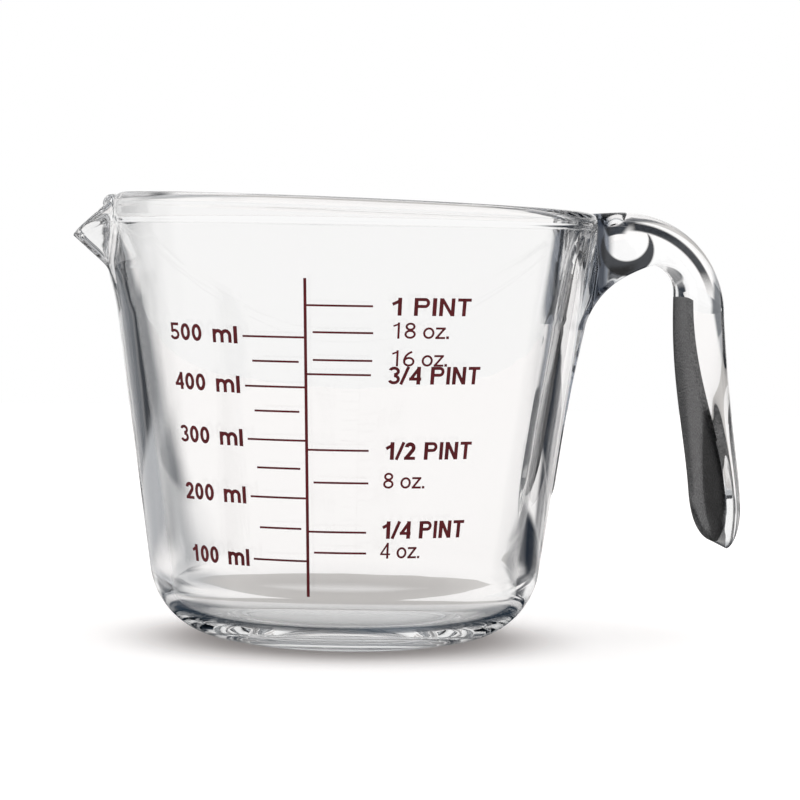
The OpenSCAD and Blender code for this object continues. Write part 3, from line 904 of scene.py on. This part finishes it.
    def outline_rows(self) -> list[Row]:
        """Lists the rows of the bowl's skin.

        Returns:
            The rows from the middle of the underside, up the outside, over the rim and down the bore.
        """
        walls = [i / self.wall_steps for i in range(self.wall_steps)]
        rows = [Row(Band.UNDERSIDE, float(i)) for i in range(len(self.underside()))]
        rows += [Row(Band.HEEL, i / self.heel_steps) for i in range(self.heel_steps)]
        rows += [Row(Band.WALL, mix(self.heel_top_z, self.neck_z, share)) for share in walls]
        under_z = self.collar_low_z - self.collar_under
        rows += [Row(Band.NECK, mix(self.neck_z, under_z, i / self.neck_steps))
                 for i in range(self.neck_steps)]
        rows += [Row(Band.NECK, self.collar_low_z + self.collar_rows_h * i / self.collar_steps
                     - self.collar_under) for i in range(self.collar_steps + 1)]
        rows += [Row(Band.NECK, self.rim_h + i) for i in range(1, self.edge_steps)]
        rows += [Row(Band.RIM, 180.0 * i / self.rim_steps) for i in range(self.rim_steps + 1)]
        rows += [Row(Band.THROAT, i / self.throat_steps) for i in range(1, self.throat_steps + 1)]
        rows += [Row(Band.BORE, mix(self.neck_z, self.corner_top_z, share)) for share in walls[1:]]
        rows += [Row(Band.CORNER, i / self.corner_steps) for i in range(self.corner_steps + 1)]
        rows += [Row(Band.FLOOR, share) for share in self.floor_shares]
        return rows

    def underside(self) -> list[Spot]:
        """Lists the points of the underside and the foot ring.

        Returns:
            Their radii and heights, from the middle out.
        """
        foot_r = self.heel_x - self.foot_inset
        foot_in_r = foot_r - self.foot_w
        return ([(foot_in_r * share, mix(self.hollow_h, self.hollow_edge_z, share * share))
                 for share in self.hollow_shares]
                + [(foot_in_r + off, z) for off, z in self.ring_inside]
                + [(foot_r + off, z) for off, z in self.ring_outside])

    def warp(self, turn: float, radius: float) -> float:
        """Turns a point's even angle into its own, with points closer at the handle and the lip.

        Args:
            turn: Even angle about the axis, from -pi to pi, nought at the handle.
            radius: Distance of the point from the axis.

        Returns:
            The angle at which the point lies.
        """
        close = turn - self.pull * math.sin(2.0 * turn) / 2.0
        full, end = math.radians(self.pull_turn), math.radians(self.pull_end_turn)
        keep = 1.0 - ease((abs(close) - full) / (end - full))
        upright = self.pull_r / max(radius, self.pull_least_r)
        return close * (1.0 + keep * (upright - 1.0))

    def point(self, row: Row, even_turn: float) -> Vector:
        """Finds where a point of the bowl's skin lies.

        Args:
            row: Row of the point.
            even_turn: Even angle of the point about the axis.

        Returns:
            The place in millimetres.
        """
        band, place = row
        if band in (Band.NECK, Band.RIM, Band.THROAT):
            return self.mouth_point(row, even_turn)
        if band is Band.UNDERSIDE:
            radius, z = self.underside()[int(place)]
        elif band is Band.HEEL:
            angle = math.radians(mix(-90.0, -self.wall_slope, place))
            radius = self.heel_x + self.heel_r * math.cos(angle)
            z = self.heel_z + self.heel_r * math.sin(angle)
        elif band is Band.WALL:
            radius, z = self.wall_r(place), place
        elif band is Band.BORE:
            radius, z = self.bore_r(place), place
        elif band is Band.CORNER:
            angle = math.radians(mix(-self.bore_slope, -90.0, place))
            radius = self.corner_x + self.floor_corner_r * math.cos(angle)
            z = self.corner_z + self.floor_corner_r * math.sin(angle)
        else:
            radius, z = self.corner_x * place, self.floor_h
        turn = self.warp(even_turn, radius)
        if band is Band.WALL and math.cos(turn) > 0.0:
            radius += self.rib_rise(radius * math.sin(turn), z)
        return Vector((radius * math.cos(turn), radius * math.sin(turn), z))

    def mouth_point(self, row: Row, even_turn: float) -> Vector:
        """Finds where a point of the neck, the rim or the throat lies.

        Args:
            row: Row of the point.
            even_turn: Even angle of the point about the axis.

        Returns:
            The place in millimetres.
        """
        band, place = row
        if band is Band.NECK:
            turn = self.warp(even_turn, self.wall_r(place))
            nominal = place
            if place > self.rim_h:
                nominal = mix(self.collar_low_z + self.collar_over, self.plain_edge_z(turn),
                              (place - self.rim_h) / self.edge_steps)
            z = self.neck_row_z(turn, nominal)
            turn = self.warp(even_turn, self.wall_r(z))
            radius = self.outside_r(turn, z)
        elif band is Band.RIM:
            turn = self.warp(even_turn, self.wall_r(self.rim_h))
            high, angle = self.edge_h(turn), math.radians(place)
            start_z = self.crest_z(turn) - high
            in_r, out_r = self.inside_r(turn, start_z), self.outside_r(turn, start_z)
            radius = mix(in_r, out_r, 0.5 + 0.5 * math.cos(angle))
            z = start_z + high * math.sin(angle)
        else:
            turn = self.warp(even_turn, self.bore_r(self.rim_h))
            z = self.neck_row_z(turn, mix(self.plain_edge_z(turn), self.neck_z, place))
            radius = self.inside_r(turn, z)
        return Vector((radius * math.cos(turn), radius * math.sin(turn), z))

    # Cuts through the handle

    def arch_slice(self, share: float) -> Slice:
        """Cuts the arm's root, from the wall to the top of the finger gap.

        Args:
            share: Share of the way along this stretch, from 0 to 1.

        Returns:
            The cut.
        """
        angle = math.radians(mix(self.arch_start_turn, self.arch_end_turn, share))
        rib_x = self.wall_r(self.arch_z) + self.rib_top_proud
        gap = Vector((self.gap_x - (self.gap_x - rib_x) * (-math.cos(angle)) ** self.arch_round, 0.0,
                      self.arch_z + self.gap_arch_h * math.sin(angle) ** self.arch_round))
        far = Vector((mix(self.rim_place(0.0)[0], self.bend_x, share), 0.0,
                      mix(self.handle_top_z - self.seat_drop, self.handle_top_z, ease(share))))
        flare = self.root_flare * max(1.0 - share / self.root_share, 0.0) ** 2
        waist = ease((share - self.waist_share) / (1.0 - self.waist_share))
        return Slice(gap, far, mix(self.waist_w, self.arm_w, waist) + flare,
                     mix(self.root_low_share, ARM_LOW_SHARE, ease(share)),
                     mix(self.root_ridge, ARM_RIDGE, ease((share - self.ridge_start) / self.ridge_length)))

    def bend_slice(self, share: float) -> Slice:
        """Cuts the handle over its crook.

        Args:
            share: Share of the way along this stretch, from 0 to 1.

        Returns:
            The cut.
        """
        angle = math.radians(mix(self.bend_start_turn, 0.0, share))
        gap = Vector((self.gap_x + (self.grip_near_x - self.gap_x) * math.cos(angle), 0.0,
                      self.crook_z + self.crook_r * math.sin(angle)))
        far = Vector((self.bend_x + self.bend_r * math.cos(angle), 0.0,
                      self.bend_z + self.bend_r * math.sin(angle)))
        return Slice(gap, far, self.arm_w, face_points=mix(self.bend_face_points, self.face_points, share))

    def near_x(self, z: float) -> float:
        """Finds how far the grip's face at the finger gap is from the axis.

        Args:
            z: Height in millimetres.

        Returns:
            The distance in millimetres.
        """
        bow_h = self.grip_bow_share * (self.crook_z - self.handle_low_z)
        bow = ease(min(1.0, (self.crook_z - z) / bow_h)) ** self.grip_bow
        return mix(self.grip_near_x, self.grip_top_x + self.grip_lean - self.grip_end_t, bow)

    def far_x(self, z: float) -> float:
        """Distance from the axis of the grip's far side."""
        return self.grip_top_x + self.grip_lean * (self.bend_z - z) / (self.bend_z - self.grip_low_z)

    def grip_slice(self, share: float) -> Slice:
        """Cuts the grip, which leans out and widens.

        Args:
            share: Share of the way along this stretch, from 0 to 1.

        Returns:
            The cut.
        """
        near_z, far_z = mix(self.crook_z, self.grip_low_z, share), mix(self.bend_z, self.grip_low_z, share)
        return Slice(Vector((self.near_x(near_z), 0.0, near_z)), Vector((self.far_x(far_z), 0.0, far_z)),
                     mix(self.arm_w, self.grip_end_w, ease(share)), face_points=self.face_points)

    def tip_slice(self, share: float) -> Slice:
        """Cuts the grip's round end.

        Args:
            share: Share of the way along this stretch, from 0 to 1.

        Returns:
            The cut.
        """
        angle = math.radians(self.tip_turn * share)
        near_z = self.grip_low_z - self.tip_near_share * self.grip_round_h * math.sin(angle)
        far_z = self.grip_low_z - self.grip_round_h * math.sin(angle)
        draw = self.grip_end_t * (1.0 - math.cos(angle))
        return Slice(Vector((self.near_x(near_z) + self.tip_near_draw * draw, 0.0, near_z)),
                     Vector((self.far_x(far_z) - self.tip_far_draw * draw, 0.0, far_z)),
                     self.grip_end_w * math.cos(angle), face_points=self.face_points)

    def cut_outline(self, cut: Slice) -> list[Vector]:
        """Lists fine points round a cut, from the middle of its side at the gap and back to it.

        Args:
            cut: The cut through the handle.

        Returns:
            The points in millimetres, the first one again at the end.
        """
        outline = []
        for i in range(self.cut_steps + 1):
            angle = math.radians(-90.0 + 360.0 * i / self.cut_steps)
            across, up = math.cos(angle), math.sin(angle)
            depth = mix(cut.low_share, 1.0, up)
            if up < 0.0:
                across = math.copysign(abs(across) ** cut.ridge, across) if abs(across) > 1e-9 else 0.0
                depth = cut.low_share * (1.0 - (-up) ** cut.ridge)
            spot = cut.gap.lerp(cut.far, depth)
            outline.append(Vector((spot.x, across * cut.width / 2.0, spot.z)))
        return outline

    def ring(self, cut: Slice, count: int) -> list[Vector]:
        """Spreads points evenly round a cut, from the middle of its side at the gap.

        Args:
            cut: The cut through the handle.
            count: Number of points.

        Returns:
            The points in millimetres.
        """
        outline = self.cut_outline(cut)
        lengths = [0.0]
        for a, b in zip(outline, outline[1:]):
            lengths.append(lengths[-1] + (b - a).length)
        depth = cut.far - cut.gap
        limit = self.grain_depth_share * depth.length_squared
        edge = next(i for i, spot in enumerate(outline)
                    if (Vector((spot.x, 0.0, spot.z)) - cut.gap).dot(depth) > limit)
        face = lengths[edge] / lengths[-1]
        few = round(count * cut.face_points / 2.0) / count or face
        points, j = [], 0
        for k in range(count):
            part = k / count
            if part <= few:
                part = part * face / few
            elif part >= 1.0 - few:
                part = 1.0 - (1.0 - part) * face / few
            else:
                part = mix(face, 1.0 - face, (part - few) / (1.0 - 2.0 * few))
            want = lengths[-1] * part
            while lengths[j + 1] < want:
                j += 1
            step = lengths[j + 1] - lengths[j]
            points.append(outline[j].lerp(outline[j + 1], (want - lengths[j]) / step if step > 0.0 else 0.0))
        return points

    # The skin itself

    def spin_bowl(self, bm: bmesh.types.BMesh) -> Grid:
        """Spins the outline into the bowl's closed skin and shapes it.

        Args:
            bm: Empty mesh that gets the bowl.

        Returns:
            The bowl's points by row and turn.
        """
        mark = bm.verts.layers.int.new("row")
        verts = []
        for index, row in enumerate(self.rows):
            vert = bm.verts.new(self.point(row, 0.0))
            vert[mark] = index
            verts.append(vert)
        edges = [bm.edges.new(pair) for pair in zip(verts, verts[1:])]
        bmesh.ops.spin(bm, geom=verts + edges, cent=(0.0, 0.0, 0.0), axis=(0.0, 0.0, 1.0),
                       angle=2.0 * math.pi, steps=self.turns, use_merge=True, use_duplicate=False)
        grid: Grid = {}
        step = 2.0 * math.pi / self.turns
        ends = (0, len(self.rows) - 1)
        for vert in bm.verts:
            column = round(math.atan2(vert.co.y, vert.co.x) / step) % self.turns
            if column > self.turns // 2:
                column -= self.turns
            if vert[mark] not in ends:
                grid[vert[mark], column] = vert
        for (index, column), vert in grid.items():
            vert.co = self.point(self.rows[index], column * step)
        bmesh.ops.remove_doubles(bm, verts=[v for v in bm.verts if v[mark] in ends], dist=MERGE_GAP)
        return grid

    def open_seat(self, bm: bmesh.types.BMesh, grid: Grid) -> Verts:
        """Opens the wall where the arm grows out of it.

        Args:
            bm: Mesh of the bowl.
            grid: Points of the bowl by row and turn.

        Returns:
            The points round the opening, from the middle of its lower edge towards +Y.
        """
        low = next(i for i, row in enumerate(self.rows) if row.band is Band.WALL and row.place >= self.arch_z)
        crest = next(i for i, row in enumerate(self.rows) if row.band is Band.RIM and row.place >= 90.0)
        half = max(c for (i, c), vert in grid.items()
                   if i == crest and abs(vert.co.y) <= self.seat_half_w and vert.co.x > 0.0)
        inside = [grid[i, c] for i in range(low + 1, crest) for c in range(-half + 1, half)]
        bmesh.ops.delete(bm, geom=inside, context="VERTS")
        loop = [grid[low, c] for c in range(0, half + 1)]
        loop += [grid[i, half] for i in range(low + 1, crest + 1)]
        loop += [grid[crest, c] for c in range(half - 1, -half - 1, -1)]
        loop += [grid[i, -half] for i in range(crest - 1, low - 1, -1)]
        loop += [grid[low, c] for c in range(-half + 1, 0)]
        return loop

    def handle_rings(self, base: list[Vector], grips: list[Slice]) -> list[list[Vector]]:
        """Lists the rings of points along the handle.

        Args:
            base: Places of the points round the opening in the wall.
            grips: Cuts through the grip and its end.

        Returns:
            The rings of the root, the bend and the grip, each with as many points as the opening.
        """
        count = len(base)
        start = self.arch_slice(0.0)
        depths = [min(max((p.z - start.gap.z) / (start.far.z - start.gap.z), 0.0), 1.0) for p in base]
        rings = []
        for i in range(1, self.arch_steps + 1):
            share = (i / self.arch_steps) ** self.arch_crowd
            cut = self.arch_slice(share)
            carried = [p + (cut.gap - start.gap).lerp(cut.far - start.far, d) for p, d in zip(base, depths)]
            turned = ease(share * self.root_shift)
            rings.append([c.lerp(s, turned) for c, s in zip(carried, self.ring(cut, count))])
        bends = [self.bend_slice(i / self.bend_steps) for i in range(1, self.bend_steps + 1)]
        return rings + [self.ring(cut, count) for cut in bends + grips]

    def grow_handle(self, bm: bmesh.types.BMesh, seat: Verts) -> tuple[Faces, Faces]:
        """Extrudes the opening's edge along the handle and closes its end.

        Args:
            bm: Mesh with the opening.
            seat: Points round the opening.

        Returns:
            The faces of the grained inner side of the grip, and those of the thick root and bend.
        """
        grips = [self.grip_slice(i / self.grip_steps) for i in range(1, self.grip_steps + 1)]
        grips += [self.tip_slice(i / self.tip_steps) for i in range(1, self.tip_steps + 1)]
        rings = self.handle_rings([v.co.copy() for v in seat], grips)
        first_grip = len(rings) - len(grips)
        loop = seat
        grained, thick = [], []
        for index, ring in enumerate(rings):
            made = bmesh.ops.extrude_edge_only(bm, edges=loop_edges(bm, loop))["geom"]
            ring_before = set(loop)
            partner = {}
            for vert in (g for g in made if isinstance(g, bmesh.types.BMVert)):
                for edge in vert.link_edges:
                    if edge.other_vert(vert) in ring_before:
                        partner[edge.other_vert(vert)] = vert
            loop = [partner[v] for v in loop]
            for vert, place in zip(loop, ring):
                vert.co = place
            new_faces = [g for g in made if isinstance(g, bmesh.types.BMFace)]
            if index < first_grip:
                thick += new_faces
            elif index > first_grip:
                cut = grips[index - first_grip]
                depth = cut.far - cut.gap
                limit = cut.gap.dot(depth) + self.grain_depth_share * depth.length_squared
                grained += [f for f in new_faces if f.calc_center_median().dot(depth) < limit]
        bmesh.ops.contextual_create(bm, geom=loop_edges(bm, loop))
        return grained, thick

    def rib_faces(self, bm: bmesh.types.BMesh) -> Faces:
        """Finds the faces of the rib under the arm.

        Args:
            bm: Mesh of the whole jug, in millimetres.

        Returns:
            The faces that stand out of the wall.
        """
        found = []
        for face in bm.faces:
            spot = face.calc_center_median()
            wall_x = self.wall_r(spot.z)
            if (wall_x * math.cos(self.rib_half_radians) < spot.x
                    < wall_x + self.rib_top_proud + self.rib_reach
                    and self.rib_low_z < spot.z < self.arch_z + self.rib_reach
                    and self.rib_rise(spot.y, spot.z) > self.rib_edge):
                found.append(face)
        return found

    def build(self) -> bpy.types.Object:
        """Builds the jug's skin and dresses it.

        Returns:
            The jug's object, in metres, at the origin.
        """
        bm = bmesh.new()
        seat = self.open_seat(bm, self.spin_bowl(bm))
        near = set(seat)
        grained, thick = self.grow_handle(bm, seat)
        for index, faces in enumerate((grained, thick, self.rib_faces(bm)), 1):
            for face in faces:
                face.material_index = index
        for _ in range(self.blend_rings):
            near |= {edge.other_vert(v) for v in near for edge in v.link_edges}
        for _ in range(self.blend_rounds):
            bmesh.ops.smooth_vert(bm, verts=list(near), factor=0.5,
                                  use_axis_x=True, use_axis_y=True, use_axis_z=True)
        bmesh.ops.recalc_face_normals(bm, faces=bm.faces)
        if bm.calc_volume(signed=True) < 0.0:
            bmesh.ops.reverse_faces(bm, faces=bm.faces)
        for face in bm.faces:
            face.smooth = True
        bmesh.ops.scale(bm, vec=(MM, MM, MM), verts=bm.verts)
        jug = link_mesh("jug_glass", bm)
        for finish in (self.plain, self.grained, self.root, self.rib):
            jug.data.materials.append(finish.material())
        return jug


@dataclass
class EnamelScale:
    """The printed scale, whose shapes are the part's own solids."""

    finish: EnamelFinish = field(default_factory=EnamelFinish)
    glass_nodes: tuple[str, ...] = ("bowl", "handle")

    def dress(self, nodes: dict[str, bpy.types.Object]) -> list[str]:
        """Gives every printed solid its enamel.

        Args:
            nodes: The part's solids by name.

        Returns:
            The names of the solids that were dressed.
        """
        enamel = self.finish.material()
        names = [name for name in sorted(nodes) if name not in self.glass_nodes]
        for name in names:
            mesh = nodes[name].data
            mesh.materials.clear()
            mesh.materials.append(enamel)
        return names


class Card(NamedTuple):
    """A dark or grey card that only glass shows, on the floor or in the sky.

    Attributes:
        start: Direction from the jug in which it starts, in degrees.
        end: Direction in which it ends.
        near: Distance from the axis in metres, or height over the horizon in degrees, at which it starts.
        far: Distance or height at which it ends.
        soft: Half the width of its soft edges at near and far.
        colour: Its colour.
        edge: Half the width of its soft edges at start and end, in degrees.
    """

    start: float
    end: float
    near: float
    far: float
    soft: float
    colour: Colour
    edge: float = 4.0


@dataclass
class Studio:
    """White floor and sky, cards that only glass shows, and the camera at the photograph's place."""

    # Floor
    floor_r: float = 1.2
    floor_z: float = -0.00002
    floor_segments: int = 96
    # Camera, with angles in degrees
    camera_place: tuple[float, float, float] = (-0.1390, -0.7499, 0.0950)
    camera_turn: float = 78.506
    camera_pitch: float = -2.604
    camera_roll: float = 0.993
    camera_reach: float = 50.0
    focal_px: float = 3025.0
    frame_px: float = 800.0
    sensor: float = 36.0
    # Colours of the cards, the sky and the floor, and of the painted shadows under the jug
    navy: Colour = (0.014, 0.02, 0.03)
    coal: Colour = (0.03, 0.033, 0.038)
    slate: Colour = (0.15, 0.16, 0.175)
    mist: Colour = (0.4, 0.41, 0.425)
    belt: Colour = (0.55, 0.53, 0.515)
    painted_under_shadow: Colour = (0.03, 0.045, 0.065)
    painted_under_shadow_front: Colour = (0.2, 0.24, 0.29)
    ceiling: Colour = (0.6, 0.62, 0.64)
    ceiling_front: Colour = (0.15, 0.16, 0.18)
    sky_colour: Colour = WHITE
    floor_colour: Colour = (0.9, 0.885, 0.88)
    shade_colour: Colour = (0.45, 0.42, 0.41)
    # Painted shadow under the jug, for camera rays, over its real shadow
    shade_near_r: float = 0.03
    shade_far_r: float = 0.066
    # Grey belt on the floor behind the jug
    belt_turn: float = 78.5
    belt_start: float = 0.065
    belt_full: float = 0.091
    belt_far: float = 0.15
    belt_far_soft: float = 0.002
    belt_half_w: float = 0.088
    belt_side_soft: float = 0.008
    # Light in glass, and the glow that keeps the floor white
    bounces: int = 24
    camera_glow: float = 0.36
    glass_glow: float = 0.16

    def floor_cards(self) -> list[Card]:
        """Lists the cards on the floor.

        Returns:
            The cards, with near and far in metres from the jug's axis.
        """
        return [Card(10.0, 48.0, 0.115, 0.19, 0.01, self.navy),
                Card(34.0, 50.0, 0.19, 0.3, 0.01, self.navy),
                Card(10.0, 50.0, 0.3, 0.6, 0.02, self.navy),
                Card(10.0, 37.0, 0.6, 9.0, 0.02, self.navy),
                Card(98.0, 121.0, 0.32, 9.0, 0.04, self.slate),
                Card(120.0, 150.0, 0.3, 9.0, 0.04, self.coal),
                Card(100.0, 142.0, 0.14, 0.33, 0.03, self.mist, 8.0),
                Card(144.0, 162.0, 0.13, 0.28, 0.02, self.coal, 8.0),
                # painted shadow under the jug, lighter straight in front, shown only to rays from glass
                Card(130.0, 385.0, 0.034, 0.07, 0.006, self.painted_under_shadow, 14.0),
                Card(262.0, 296.0, 0.03, 0.06, 0.006, self.painted_under_shadow_front, 14.0)]

    def sky_cards(self) -> list[Card]:
        """Lists the cards in the sky.

        Returns:
            The cards, with near and far in degrees over the horizon.
        """
        return [Card(25.0, 48.0, -99.0, 9.0, 2.0, self.navy),
                Card(10.0, 64.0, 9.0, 38.0, 4.0, self.navy),
                Card(98.0, 129.0, -99.0, 9.0, 2.0, self.slate),
                Card(-200.0, 200.0, 42.0, 99.0, 6.0, self.ceiling),
                Card(150.0, 352.0, 42.0, 99.0, 6.0, self.ceiling_front)]

    def with_cards(self, made: ShaderNodes, place: Socket, reach: Socket, cards: list[Card], unit: float,
                   plain: Source) -> Socket:
        """Adds cards over a colour, for rays from glass only.

        Args:
            made: Maker of the nodes.
            place: Output with the place or direction from the jug's axis.
            reach: Output with the distance from the axis, or the height over the horizon.
            cards: The cards.
            unit: What one unit of their near and far is in the reach.
            plain: Colour without cards, an output of another node or plain numbers.

        Returns:
            The output with the colour.
        """
        x, y = made.parts(place)[:2]
        turn = made.make("ARCTAN2", y, x)
        glass = made.glass_ray()
        for card in cards:
            middle, half = (card.start + card.end) / 2.0, (card.end - card.start) / 2.0
            off = made.make("WRAP", made.make("SUBTRACT", turn, math.radians(middle)), math.pi, -math.pi)
            share = made.step(made.make("ABSOLUTE", off), math.radians(half), -math.radians(card.edge))
            near = made.step(reach, card.near * unit, card.soft * unit)
            far = made.step(reach, card.far * unit, -card.soft * unit)
            deep = made.make("MULTIPLY", near, far)
            shown = made.make("MULTIPLY", deep, made.make("MULTIPLY", share, glass))
            plain = made.blend(shown, plain, card.colour)
        return plain

    def belt_share(self, made: ShaderNodes, place: Socket) -> Socket:
        """Adds the share of the grey belt on the floor behind the jug, for rays from glass only.

        Args:
            made: Maker of the nodes.
            place: Output with the place on the floor.

        Returns:
            The output with the share.
        """
        behind, aside = (made.measure("DOT_PRODUCT", place, Vector((math.cos(turn), math.sin(turn), 0.0)))
                         for turn in (math.radians(self.belt_turn), math.radians(self.belt_turn + 90.0)))
        depth = made.make("MULTIPLY", made.rise(behind, self.belt_start, self.belt_full),
                          made.step(behind, self.belt_far, -self.belt_far_soft))
        ends = made.step(made.make("ABSOLUTE", aside), self.belt_half_w, -self.belt_side_soft)
        return made.make("MULTIPLY", depth, made.make("MULTIPLY", ends, made.glass_ray()))

    def floor(self) -> bpy.types.Object:
        """Makes the white floor, which keeps the jug's real shadow and gets a painted shadow under the jug
        for camera rays.

        Returns:
            The floor's object.
        """
        bm = bmesh.new()
        bmesh.ops.create_circle(bm, cap_ends=True, segments=self.floor_segments, radius=self.floor_r,
                                matrix=Matrix.Translation((0.0, 0.0, self.floor_z)))
        floor = link_mesh("studio_floor", bm)
        material, made, shader = new_material("white_floor")
        place = made.add("ShaderNodeNewGeometry").outputs["Position"]
        away, camera_ray = made.measure("LENGTH", place), made.ray("Is Camera Ray")
        # painted shadow under the jug, darkest near the foot, for camera rays only
        shaded = made.make("MULTIPLY", made.rise(away, self.shade_far_r, self.shade_near_r), camera_ray)
        colour = made.blend(shaded, self.floor_colour, self.shade_colour)
        colour = made.blend(self.belt_share(made, place), colour, self.belt)
        colour = self.with_cards(made, place, away, self.floor_cards(), 1.0, colour)
        glow = made.make("ADD", made.make("MULTIPLY", camera_ray, self.camera_glow),
                         made.make("MULTIPLY", made.ray("Is Transmission Ray"), self.glass_glow))
        made.fill(shader, {"Base Color": colour, "Emission Color": colour, "Emission Strength": glow,
                           "Roughness": 1.0, "Specular IOR Level": 0.0})
        floor.data.materials.append(material)
        return floor

    def world(self) -> None:
        """Lights the scene with a white sky, with cards that only glass shows."""
        world = bpy.data.worlds.new("studio_sky")
        bpy.context.scene.world = world
        world.use_nodes = True
        made = ShaderNodes(world.node_tree)
        place = made.add("ShaderNodeTexCoord").outputs["Generated"]
        height = made.make("ARCSINE", made.parts(place)[2])
        colour = self.with_cards(made, place, height, self.sky_cards(), math.radians(1.0), self.sky_colour)
        made.fill(world.node_tree.nodes["Background"], {"Color": colour})

    def camera(self) -> None:
        """Makes the camera at the photograph's place."""
        data = bpy.data.cameras.new("photo_camera")
        data.sensor_width = self.sensor
        data.lens = self.sensor * self.focal_px / self.frame_px
        data.clip_end = self.camera_reach
        camera = link("photo_camera", data)
        turn, pitch = math.radians(self.camera_turn), math.radians(self.camera_pitch)
        ahead = Vector((math.cos(turn) * math.cos(pitch), math.sin(turn) * math.cos(pitch), math.sin(pitch)))
        right = ahead.cross(Vector((0.0, 0.0, 1.0))).normalized()
        look = Matrix((right, right.cross(ahead), -ahead)).transposed().to_4x4()
        roll = Matrix.Rotation(math.radians(self.camera_roll), 4, "Z")
        camera.matrix_world = Matrix.Translation(self.camera_place) @ look @ roll
        bpy.context.scene.camera = camera

    def build(self) -> bpy.types.Object:
        """Makes the studio.

        Returns:
            The floor's object.
        """
        self.world()
        self.camera()
        bpy.context.scene.view_settings.view_transform = "Standard"
        cycles = bpy.context.scene.cycles
        cycles.max_bounces = cycles.glossy_bounces = cycles.transmission_bounces = self.bounces
        return self.floor()


def main() -> None:
    """Builds the studio, the jug and its scale in order and reports each piece."""
    logging.basicConfig(level=logging.INFO, format="%(name)s: %(message)s")
    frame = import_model()
    studio = Studio()
    studio.build()
    jug = GlassJug().build()
    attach(jug, "root")
    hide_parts("bowl", "handle")
    LOG.info("%s: %d faces", jug.name, len(jug.data.polygons))
    for name in EnamelScale().dress(frame["nodes"]):
        LOG.info("%s: enamel", name)


if __name__ == "__main__":
    main()
